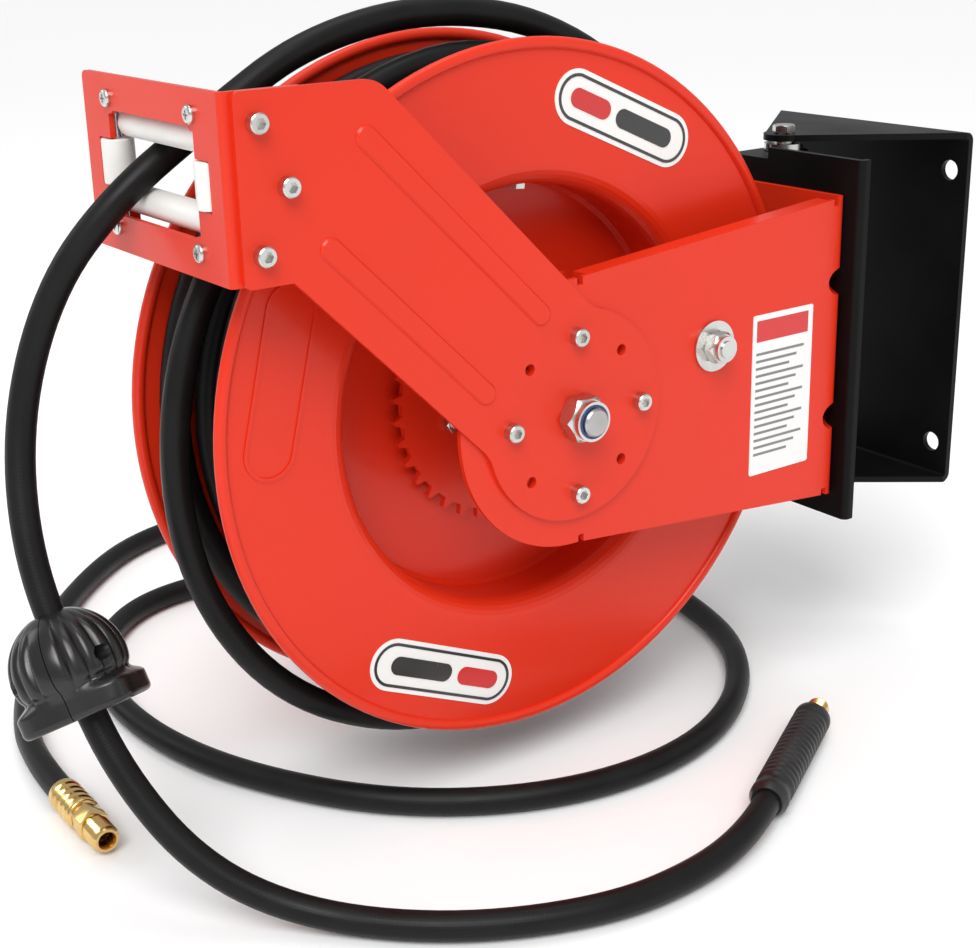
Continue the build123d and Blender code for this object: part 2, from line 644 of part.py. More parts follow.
def inlet_elbow():
    """Brass elbow on the far end of the axle, with its spigot pointing down."""
    body = disc_y(12, -NEAR_OUT + 9, INLET_Y + 12)
    body = chamfer(body.faces().sort_by(Axis.Y)[-1].edges(), 2)
    body += rod(8.5, (0, INLET_Y, 0), (0, INLET_Y, -26))
    body += on_xy(Pos(0, INLET_Y) * hexagon(19), -26, -18)
    body -= disc_y(AXLE_R + SEAT_GAP, 0, AXLE_FAR + 0.2)
    return body - rod(4, (0, INLET_Y, 0), (0, INLET_Y, -27))


def inlet_ferrule():
    """Crimped ferrule between the elbow and the feed hose."""
    ferrule = rod(FERRULE_R, (0, INLET_Y, -54), (0, INLET_Y, -26))
    for z in (-48, -43, -38):
        groove = rod(FERRULE_R + 1, (0, INLET_Y, z), (0, INLET_Y, z + 2.4))
        ferrule -= groove - rod(FERRULE_R - 0.9, (0, INLET_Y, z), (0, INLET_Y, z + 2.4))
    return ferrule - rod(3.5, (0, INLET_Y, -55), (0, INLET_Y, -25))


# ---- drum ---------------------------------------------------------------------------------
def strip(points, t):
    """Closed outline of a sheet of thickness t along a polyline, with mitred corners."""
    pts = [Vector(*p) for p in points]
    sides = ([], [])
    for i, p in enumerate(pts):
        before = (p - pts[i - 1]).normalized() if i else None
        after = (pts[i + 1] - p).normalized() if i < len(pts) - 1 else None
        ways = [w for w in (before, after) if w is not None]
        normals = [Vector(-w.Y, w.X) for w in ways]
        mean = sum(normals[1:], normals[0]).normalized()
        reach = t / 2 / mean.dot(normals[0])
        sides[0].append(p + mean * reach)
        sides[1].append(p - mean * reach)
    loop = sides[0] + sides[1][::-1]
    return make_face(Polyline(*[(v.X, v.Y) for v in loop], close=True))


RING_MID = DRUM_HALF - RIM_R


def flange(side):
    """Drawn flange: rolled rim, flat ring and a deep pan. side is -1 near or +1 far."""
    floor = PAN_FLOOR + DRUM_T / 2
    roll = PAN_LIP_R - PAN_R
    path = [(FLANGE_R - RIM_R, RING_MID)]
    for angle in range(90, 181, 15):
        r, y = polar(roll, angle)
        path.append((PAN_LIP_R + r, RING_MID - roll + y))
    path += [(PAN_R, floor + 3), (PAN_R - 3, floor), (HUB_R + SEAT_GAP, floor)]
    profile = strip([(r, side * y) for r, y in path], DRUM_T)
    rim = Pos(FLANGE_R - RIM_R, side * RING_MID) * Circle(RIM_R)
    return revolve(profile + rim, axis=Axis.Y)


def near_flange():
    """Near flange with its holes and the two pressed outlines on its ring."""
    body = flange(-1)
    face = -RING_MID - DRUM_T / 2
    for angle in (166.0, 346.0):
        x, z = polar(BADGE_R, angle)
        outline = stadium(104, 30, x, z, angle + 90) - stadium(100, 26, x, z, angle + 90)
        body += on_xz(outline, face - 0.9, face + 0.4)
    for x, z in ratchet_bolt_places():
        body -= disc_y(3 + SEAT_GAP, -PAN_FLOOR - 5, -PAN_FLOOR + 5, x, z)
    return body - radial_rods(-1, BARREL_BOLT_R + SEAT_GAP)


BADGE_R = FLANGE_R - 35
BADGE_T = 0.5


def flange_badges():
    """Two blank badges on the near flange's ring."""
    face = -RING_MID - DRUM_T / 2
    made = []
    for angle in (66.0, 246.0):
        x, z = polar(BADGE_R, angle)
        made.append(on_xz(stadium(104, 31, x, z, angle - 90), face - BADGE_T, face))
    return made


BARREL_BOLTS = 3
BARREL_BOLT_R = 3.0
BARREL_BOLT_Y = BARREL_HALF - 12.5


def radial_rods(side, r):
    """Radial rods through the pan wall and the barrel at the bolt places."""
    made = None
    for k in range(BARREL_BOLTS):
        x, z = polar(1.0, BOLT_ANGLE + k * 360 / BARREL_BOLTS)
        y = side * BARREL_BOLT_Y
        low, high = PAN_R - 8, PAN_R + 8
        part = rod(r, (low * x, y, low * z), (high * x, y, high * z))
        made = part if made is None else made + part
    return made


BARREL_IN_R = PAN_R + DRUM_T / 2 + BARREL_GAP


def barrel():
    """Ring between the two pans, which the hose winds on."""
    ring = disc_y(BARREL_IN_R + BARREL_T, -BARREL_HALF, BARREL_HALF, bore=BARREL_IN_R)
    ring -= radial_rods(-1, BARREL_BOLT_R + SEAT_GAP)
    ring -= radial_rods(1, BARREL_BOLT_R + SEAT_GAP)
    return ring - rod(OUTLET_R + SEAT_GAP, (0, 0, BARREL_IN_R - 10), (0, 0, BARREL_IN_R + 10))


def barrel_bolts():
    """Radial bolts: hexagon head inside the pan, shank, domed end outside the barrel."""
    made = []
    out = BARREL_IN_R + BARREL_T
    inside = PAN_R - DRUM_T / 2
    for side in (-1, 1):
        for k in range(BARREL_BOLTS):
            x, z = polar(1.0, BOLT_ANGLE + k * 360 / BARREL_BOLTS)
            y = side * BARREL_BOLT_Y
            way = Vector(x, 0, z)
            seat = way * (inside - 0.8) + Vector(0, y, 0)
            head = extrude(Plane(origin=seat - way * 4, z_dir=way) * hexagon(10), amount=4)
            shank = rod(BARREL_BOLT_R, tuple(seat - way), tuple(way * (out + 0.3) + Vector(0, y, 0)))
            cap = rod(5.5, tuple(way * (out + 0.2) + Vector(0, y, 0)),
                      tuple(way * (out + 2.4) + Vector(0, y, 0)))
            made.append(head + shank + cap)
    return made


OUTLET_R = 6.0


def swivel_body():
    """Rotary joint round the hub, between the pan floors."""
    ring = disc_y(HUB_R + 9, -9, 9, bore=HUB_R + SEAT_GAP)
    return ring - rod(OUTLET_R - 2, (0, 0, HUB_R - 2), (0, 0, HUB_R + 12))


def swivel_seals():
    """Two seals of the rotary joint, between the axle and the hub."""
    inner, outer = AXLE_R + RUNNING, AXLE_R + BUSH_T
    return [disc_y(outer, y - 1.5, y + 1.5, bore=inner) for y in (-6.5, 8.5)]


def outlet_tube():
    """Pipe that brings the fluid from the rotary joint out through the barrel."""
    start = HUB_R + 9 + SEAT_GAP
    pipe = rod(OUTLET_R, (0, 0, start), (0, 0, COIL_IN_R - 0.5))
    pipe += on_xy(hexagon(19), start, start + 9)
    return pipe - rod(OUTLET_R - 2, (0, 0, start - 1), (0, 0, COIL_IN_R + 1))


GAP_LEAD = 0.7           # degrees that the gap's middle runs ahead of the pawl's tip


def pawl_line(offset):
    """Direction of the pawl, turned by an offset from the line to the axle."""
    return math.degrees(math.atan2(-PAWL_Z, -PAWL_X)) + offset


def ratchet_bolt_places():
    """Ratchet wheel bolts, in X and Z."""
    return [polar(41.0, 196.0 + k * 120) for k in range(3)]


def ratchet_wheel():
    """Saw-toothed wheel bolted on the near pan's floor, with a gap under the pawl."""
    pitch = 360 / TEETH
    tip = Vector(PAWL_X, PAWL_Z) + Vector(*polar(PAWL_REACH, pawl_line(PAWL_IN)))
    aim = math.degrees(math.atan2(tip.Y, tip.X)) - GAP_LEAD
    points = []
    for k in range(TEETH):
        start = aim + (k - 0.47) * pitch
        points.append(polar(RATCHET_R, start + 0.02 * pitch))
        points.append(polar(RATCHET_R - TOOTH_DEPTH, start + 0.22 * pitch))
        points.append(polar(RATCHET_R - TOOTH_DEPTH, start + 0.72 * pitch))
        points.append(polar(RATCHET_R, start + 0.86 * pitch))
    outline = make_face(Polyline(*points, close=True)) - Circle(HUB_R + 10)
    wheel = on_xz(outline, PAWL_Y0, PAWL_Y0 + RATCHET_T)
    wheel += disc_y(52, PAWL_Y0 + RATCHET_T, -PAN_FLOOR - DRUM_T, bore=HUB_R + 10)
    for x, z in ratchet_bolt_places():
        wheel -= disc_y(3 + SEAT_GAP, PAWL_Y0 - 1, 0, x, z)
    return wheel


def ratchet_bolts():
    """Bolts and lock nuts that hold the ratchet wheel."""
    made = []
    for x, z in ratchet_bolt_places():
        nut = hex_nut_y(10, PAWL_Y0 - 6, PAWL_Y0, x, z, 2)
        head = on_xz(Pos(x, z) * hexagon(10), -PAN_FLOOR, -PAN_FLOOR + 3)
        made.append(nut + head + disc_y(3, PAWL_Y0 - 8, -PAN_FLOOR + 1, x, z))
    return made


def spring_case():
    """Cup in the far pan that holds the power spring."""
    y0 = PAN_FLOOR + DRUM_T
    cup = disc_y(CASE_R, y0, y0 + CASE_DEPTH) - disc_y(CASE_R - 1.5, y0 + 1.5, y0 + CASE_DEPTH + 1)
    return cup - disc_y(HUB_R + 6, y0 - 1, y0 + 3)


def spring_cover():
    """Lid of the spring case, carried by the far bush."""
    lid = disc_y(CASE_R + 3, COVER_Y, COVER_Y + 1.5)
    lid += disc_y(AXLE_R + BUSH_T + 4, COVER_Y - 1.5, COVER_Y + 3)
    lid -= disc_y(AXLE_R + BUSH_T + SEAT_GAP, COVER_Y - 3, COVER_Y + 6)
    for x, z in [polar(CASE_R - 12, k * 60) for k in range(6)]:
        lid -= disc_y(2 + SEAT_GAP, COVER_Y - 1, COVER_Y + 3, x, z)
    return lid


def cover_screws():
    """Six screws in the lid of the spring case."""
    made = []
    for x, z in [polar(CASE_R - 12, k * 60) for k in range(6)]:
        head = chamfer(disc_y(4, COVER_Y + 1.5, COVER_Y + 4, x, z).edges(), 0.7)
        made.append(head + disc_y(2, COVER_Y - 2.5, COVER_Y + 2, x, z))
    return made


def power_spring():
    """Flat spiral spring that winds the hose back."""
    inner, outer = AXLE_R + 7.5, CASE_R - 3.5
    steps = SPRING_TURNS * 8

    def spiral(shift):
        """Points of one side of the strip."""
        return [polar(inner + shift + (outer - inner) * i / steps, i * 45) for i in range(steps + 1)]

    one, two = spiral(0), spiral(SPRING_T)
    edges = [Spline(*one), Line(one[-1], two[-1]), Spline(*two), Line(two[0], one[0])]
    face = make_face(edges)
    return on_xz(face, ARBOR_NEAR + 1, ARBOR_FAR - 1)


# ---- pawl ---------------------------------------------------------------------------------
PAWL_Y0 = -PAN_FLOOR - DRUM_T - RATCHET_OFF - RATCHET_T


def pawl():
    """Rocker that drops between the ratchet's teeth, drawn lifted clear of them."""
    aim = pawl_line(PAWL_LIFTED)
    tip = Vector(*polar(PAWL_REACH, aim))
    side = Vector(*polar(1.0, aim + 90))
    corners = [side * 7, tip + side * 1.5, tip - side * 1.5, side * -7]
    face = poly(*[(v.X, v.Y) for v in corners])
    face += Circle(8)
    face -= Circle(PAWL_PIN_R + RUNNING)
    return on_xz(Pos(PAWL_X, PAWL_Z) * face, PAWL_Y0, PAWL_Y0 + PAWL_T)


def pawl_pin():
    """Pivot bolt of the pawl, held in the near frame wall."""
    pin = disc_y(PAWL_PIN_R, NEAR_OUT - 13, PAWL_Y0 + PAWL_T, PAWL_X, PAWL_Z)
    return pin


def pawl_sleeve():
    """Spacer on the pivot bolt between the frame wall and the pawl."""
    return disc_y(PAWL_PIN_R + 2.5, NEAR_IN, PAWL_Y0 - 0.5, PAWL_X, PAWL_Z, PAWL_PIN_R + SEAT_GAP)


def pawl_nut():
    """Lock nut and broad washer outside the near frame wall."""
    washer = disc_y(15, NEAR_OUT - 2, NEAR_OUT, PAWL_X, PAWL_Z, PAWL_PIN_R + SEAT_GAP)
    nut = hex_nut_y(17, NEAR_OUT - 9, NEAR_OUT - 2, PAWL_X, PAWL_Z, PAWL_PIN_R + SEAT_GAP)
    collar = disc_y(7.6, NEAR_OUT - 12, NEAR_OUT - 8.5, PAWL_X, PAWL_Z, PAWL_PIN_R + SEAT_GAP)
    return washer + nut + collar


def info_label():
    """Blank information label on the near frame wall."""
    label = Pos(FRAME_BACK - 51, -17) * RectangleRounded(50, 100, 1.5)
    return on_xz(label, NEAR_OUT - 0.5, NEAR_OUT)


# ---- hoses --------------------------------------------------------------------------------
def cord_tube(name, points, r):
    """Tube of straight runs and tangent arcs along chosen points; prints its length and radii."""
    pts = [Vector(*p) for p in points]
    radii = []
    for a, b, c in zip(pts, pts[1:], pts[2:]):
        turn = math.radians((b - a).get_angle(c - b))
        run = min((b - a).length, (c - b).length)
        radii.append(0.45 * run / math.tan(turn / 2))
    path = FilletPolyline(*pts, radius=radii)
    tube = sweep(Plane(origin=path @ 0, z_dir=path % 0) * Circle(r), path=path)
    ratio = tube.volume / (math.pi * r * r * path.length)
    print(f"{name}: length {path.length:.0f}, volume ratio {ratio:.4f}, radii",
          " ".join(f"{value:.0f}" for value in radii))
    return tube


def hose_coil():
    """Outer shape of the wound hose: a stepped ring on the barrel."""
    low = COIL_IN_R
    ease = BARREL_HALF + 1.5
    profile = poly((low, -ease), (PAN_LIP_R + 3, -COIL_HALF), (COIL_LOW_R, -COIL_HALF),
                   (COIL_LOW_R, COIL_STEP_Y), (COIL_HIGH_R, COIL_STEP_Y), (COIL_HIGH_R, COIL_HALF),
                   (PAN_LIP_R + 3, COIL_HALF), (low, ease))
    return revolve(profile, axis=Axis.Y)


SCALE = FLANGE_R / 200   # the hoses' paths follow the drum's size
GATE_Y = WINDOW_Y + 24.3  # where the hose passes between the rollers


def scaled(points):
    """Points of a hose, drawn for the drum as given and moved with its size."""
    return [(x * SCALE, y, z * SCALE) for x, y, z in points]


def on_floor(points):
    """Points of a hose that lies on the floor, from (x, y, rise)."""
    return [(x * SCALE, y, FLOOR_LINE + rise) for x, y, rise in points]


# Free end of the delivery hose: a loose turn round the drum, over the top, out through the
# rollers, down through the stopper and along the floor. Points are (x, y, z) from the axle.
FREE_HOSE = scaled([
    (-74.0, 2.0, 172.3), (-112.0, 2.0, 156.0), (-172.0, 2.0, 92.0), (-201.0, 2.0, 12.0),
    (-195.0, 2.0, -80.0), (-146.0, 2.0, -160.0), (-66.0, 2.0, -206.0), (22.0, 2.0, -211.0),
    (104.0, 2.0, -178.0), (163.0, 2.0, -112.0), (191.0, 2.0, -30.0), (184.0, 3.0, 66.0),
    (139.0, 6.0, 148.0), (66.0, 10.0, 200.0), (-20.0, 12.0, 215.0), (-100.0, 13.0, 201.0),
]) + [
    (44.5 - WINDOW_FRONT, GATE_Y, WINDOW_Z + 20.6), (-11.0 - WINDOW_FRONT, GATE_Y, WINDOW_Z - 14.1),
] + scaled([
    (-246.0, 30.0, 88.0), (-268.0, 37.0, 22.0), (-279.0, 16.0, -42.0), (-273.5, -13.0, -98.0),
    (-265.0, -45.0, -150.0), (-241.0, -80.0, -197.0),
]) + on_floor([
    (-199.0, -115.0, 0.0), (-145.0, -172.0, 0.0), (-72.0, -206.0, 0.0), (-9.0, -208.0, 0.0),
    (36.0, -198.0, 3.5), (62.0, -183.0, 3.5),
])

# Feed hose: from the far end of the axle down to the floor and round the reel.
FEED_HOSE = [(0.0, INLET_Y, -54.0), (0.0, INLET_Y, -112.0)] + scaled([
    (14.0, INLET_Y + 10, -176.0), (42.0, INLET_Y + 48, -218.0),
]) + on_floor([
    (64.0, 220.0, 0.0), (46.0, 284.0, 0.0), (-20.0, 318.0, 0.0), (-92.0, 316.0, 0.0),
    (-148.0, 268.0, 0.0), (-176.0, 196.0, 0.0), (-178.0, 116.0, 0.0), (-156.0, 34.0, 0.0),
    (-104.0, -48.0, 0.0), (-28.0, -98.0, 0.0), (56.0, -110.0, 0.0), (136.0, -83.0, 0.0),
    (200.0, -18.0, 0.0), (226.0, 66.0, 0.0), (236.0, 172.0, 0.0), (216.0, 286.0, 0.0),
    (158.0, 390.0, 0.0), (66.0, 446.0, 0.0), (-40.0, 440.0, 0.0), (-128.0, 366.0, 0.0),
    (-196.0, 270.0, 0.0), (-236.0, 186.0, 0.0), (-250.5, 124.0, 1.5), (-251.5, 80.0, 1.5),
])


def along(end, before, distance):
    """Point beyond the end of a hose, on the line of its last run."""
    way = (Vector(*end) - Vector(*before)).normalized()
    return tuple(Vector(*end) + way * distance)


def feed_fitting():
    """Brass male fitting on the feed hose: crimped ferrule, hexagon, threaded spigot."""
    end, before = FEED_HOSE[-1], FEED_HOSE[-2]
    at = [along(end, before, d) for d in (0, 30, 32, 46, 64)]
    body = rod(FERRULE_R, at[0], at[1]) + rod(7.5, at[1], at[2])
    way = Vector(*at[1]) - Vector(*at[0])
    body += extrude(Plane(origin=at[2], z_dir=way) * hexagon(17), amount=14)
    body += rod(8.2, at[3], at[4])
    return body - rod(4.5, along(end, before, 5), along(end, before, 66))


def hose_grip():
    """Ribbed rubber sleeve on the last stretch of the delivery hose."""
    end, before = FREE_HOSE[-1], FREE_HOSE[-2]
    return rod(GRIP_R, along(end, before, 0), along(end, before, GRIP_L))


def hose_fitting():
    """Brass nipple beyond the grip."""
    end, before = FREE_HOSE[-1], FREE_HOSE[-2]
    body = rod(7.0, along(end, before, GRIP_L), along(end, before, GRIP_L + 16))
    return body - rod(4.0, along(end, before, GRIP_L + 2), along(end, before, GRIP_L + 20))


STOPPER_AT = 21          # the stopper sits at this point of the free hose


def stopper_seat():
    """Plane at the stopper: Z runs along the hose, X stands square to the parting face."""
    centre = Vector(*FREE_HOSE[STOPPER_AT])
    way = (Vector(*FREE_HOSE[STOPPER_AT + 1]) - Vector(*FREE_HOSE[STOPPER_AT - 1])).normalized()
    normal = Vector(-0.75, 0.66, 0.0)
    normal = (normal - way * normal.dot(way)).normalized()
    return Plane(origin=centre, x_dir=normal, z_dir=way)


def stopper(side):
    """One half of the ball-shaped stopper, with its flared foot."""
    foot = Pos(0, 0, 21) * Box(62, 50, 12)
    foot = chamfer(foot.edges().filter_by(Axis.Z), 6)
    body = (Sphere(STOPPER_R) & (Pos(0, 0, -8) * Box(80, 80, 64))) + foot
    half = Box(80, 80, 90, align=(Align.MIN if side > 0 else Align.MAX, Align.CENTER, Align.CENTER))
    body &= Pos(side * 0.25, 0, 0) * half
    for y in (-STOPPER_SCREW_Y, STOPPER_SCREW_Y):
        body -= rod(2 + SEAT_GAP, (-40, y, 0), (40, y, 0))
        body -= rod(4, (-40, y, 0), (-12, y, 0))
        body -= rod(4, (12, y, 0), (40, y, 0))
    return stopper_seat() * body


def stopper_screws():
    """Two clamp screws with square nuts, sunk in the stopper."""
    made = []
    for y in (-STOPPER_SCREW_Y, STOPPER_SCREW_Y):
        screw = rod(2, (-15, y, 0), (12.1, y, 0)) + rod(3.5, (12, y, 0), (15.5, y, 0))
        screw -= Pos(15.5, y, 0) * Box(2, 5, 1)
        nut = Pos(-13.6, y, 0) * Box(3.2, 5.4, 5.4)
        made.append(stopper_seat() * (screw + nut))
    return made


def build():
    """Make every piece and write it."""
    put("wall_bracket", wall_bracket())
    put("pivot_bolts", [pivot_bolt(False), pivot_bolt(True)])
    put("pivot_washers", pivot_rings(False) + pivot_rings(True))
    put("pivot_nuts", [pivot_nut(False), pivot_nut(True)])
    put("swivel_channel", swivel_channel())
    put("reel_frame", reel_frame())
    put("frame_bolts", frame_bolts())
    put("guide_arm", guide_arm())
    put("arm_screws", arm_screws())
    put("arm_nuts", arm_nuts())
    put("head_screws", head_screws())
    put("head_nuts", head_nuts())
    put("roller_bracket", roller_bracket())
    put("roller_cage", roller_cage())
    put("roller_pins", pin_rods(PIN_R, 1.0))
    put("cage_screws", cage_screws())
    side_y = ROLLER_SPREAD_Y - SIDE_INSET
    put("roller_top", roller(ROLLER_R, ROLLER_L, True, ROLLER_X, WINDOW_Y, WINDOW_Z + ROLLER_SPREAD_Z))
    put("roller_bottom", roller(ROLLER_R, ROLLER_L, True, ROLLER_X, WINDOW_Y, WINDOW_Z - ROLLER_SPREAD_Z))
    for name, sign in (("roller_near", -1), ("roller_far", 1)):
        put(name, roller(SIDE_ROLLER_R, SIDE_ROLLER_L, False, SIDE_ROLLER_X, WINDOW_Y + sign * side_y, WINDOW_Z))
    put("axle", axle())
    put("axle_nut", axle_nut())
    put("axle_far_nut", hex_nut_y(AXLE_NUT_AF, -NEAR_OUT, -NEAR_OUT + 8, 0, 0, AXLE_R + SEAT_GAP))
    put("axle_spacers", axle_spacers())
    put("spring_arbor", spring_arbor())
    put("inlet_elbow", inlet_elbow())
    put("inlet_ferrule", inlet_ferrule())
    put("flange_near", near_flange())
    put("flange_far", flange(1) - radial_rods(1, BARREL_BOLT_R + SEAT_GAP))
    put("flange_badges", flange_badges())
    put("barrel", barrel())
    put("barrel_bolts", barrel_bolts())
    put("hub_tube", hub_tube())
    put("hub_bush", hub_bush(HUB_NEAR, HUB_NEAR + 16, -BUSH_OUT, HUB_NEAR))
    put("cover_bush", hub_bush(COVER_Y - 3, COVER_Y + 3, COVER_Y + 3, COVER_Y + BUSH_T + 2))
    put("swivel_body", swivel_body())
    put("swivel_seals", swivel_seals())
    put("outlet_tube", outlet_tube())
    put("ratchet_wheel", ratchet_wheel())
    put("ratchet_bolts", ratchet_bolts())
    put("spring_case", spring_case())
    put("spring_cover", spring_cover())
    put("cover_screws", cover_screws())
    put("power_spring", power_spring())
    put("pawl", pawl())
    put("pawl_pin", pawl_pin())
    put("pawl_sleeve", pawl_sleeve())
    put("pawl_nut", pawl_nut())
    put("info_label", info_label())
    put("hose_coil", hose_coil())
    free = cord_tube("hose_free", FREE_HOSE, HOSE_R)
    put("hose_free", free)
    put("stopper_near", stopper(1) - free)
    put("stopper_far", stopper(-1) - free)
    put("stopper_screws", stopper_screws())
    put("hose_grip", hose_grip())
    put("hose_fitting", hose_fitting())
    put("feed_hose", cord_tube("feed_hose", FEED_HOSE, HOSE_R))
    put("feed_fitting", feed_fitting())


build()
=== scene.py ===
"""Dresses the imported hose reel: its finishes, hoses, end fittings, badges and studio.

Every length is in metres in the part's own frame: the origin is the middle of the wall holes,
+X points into the wall, -Y is the guide arm's side and +Z is up. Places along the hoses are in
millimetres from the middle of the drum's axle, and at_axle() brings them into the part's frame.
"""
import json
import logging
import math
from dataclasses import dataclass
from enum import Enum
from typing import Iterable, Sequence

import bmesh
import bpy
from mathutils import Matrix, Vector


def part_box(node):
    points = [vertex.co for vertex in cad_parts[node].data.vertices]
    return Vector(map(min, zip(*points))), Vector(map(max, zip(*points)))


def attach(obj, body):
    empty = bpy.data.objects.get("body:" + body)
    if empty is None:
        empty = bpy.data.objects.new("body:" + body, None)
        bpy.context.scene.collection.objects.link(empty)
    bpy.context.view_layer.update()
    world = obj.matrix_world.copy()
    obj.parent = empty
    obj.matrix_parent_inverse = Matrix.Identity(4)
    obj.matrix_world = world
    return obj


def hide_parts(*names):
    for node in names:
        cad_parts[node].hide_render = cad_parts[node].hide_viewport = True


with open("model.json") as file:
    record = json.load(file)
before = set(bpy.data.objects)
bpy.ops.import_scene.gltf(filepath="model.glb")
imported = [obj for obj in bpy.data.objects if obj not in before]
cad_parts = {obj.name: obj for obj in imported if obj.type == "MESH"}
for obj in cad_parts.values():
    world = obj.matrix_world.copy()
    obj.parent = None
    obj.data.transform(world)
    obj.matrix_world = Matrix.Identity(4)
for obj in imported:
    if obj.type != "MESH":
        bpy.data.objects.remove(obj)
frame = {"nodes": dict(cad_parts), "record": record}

logging.basicConfig(level=logging.INFO, format="%(name)s %(message)s")
LOG = logging.getLogger("hose_reel")

Point = tuple[float, float, float]
Tree = bpy.types.NodeTree
Node = bpy.types.Node
Socket = bpy.types.NodeSocket

MM = 0.001
COAT_ROUGHNESS = 0.08
BUMP_STRENGTH = 0.4
JOINTS = {joint["name"]: joint for joint in frame["record"]["behaviour"]["joints"]}
AXLE = Vector(JOINTS["drum_spin"]["pos_m"])


def at_axle(point: Sequence[float]) -> Vector:
    """Bring a point in millimetres from the axle into the part's frame."""
    return AXLE + Vector(point) * MM


def color_of(sockets: Iterable[Socket], label: str) -> Socket:
    """Find a mix node's colour socket, which shares its name with value sockets.

    Args:
        sockets: The node's inputs or outputs.
        label: The socket's name.

    Returns:
        The colour socket of that name.
    """
    return next(socket for socket in sockets if socket.type == "RGBA" and socket.name == label)


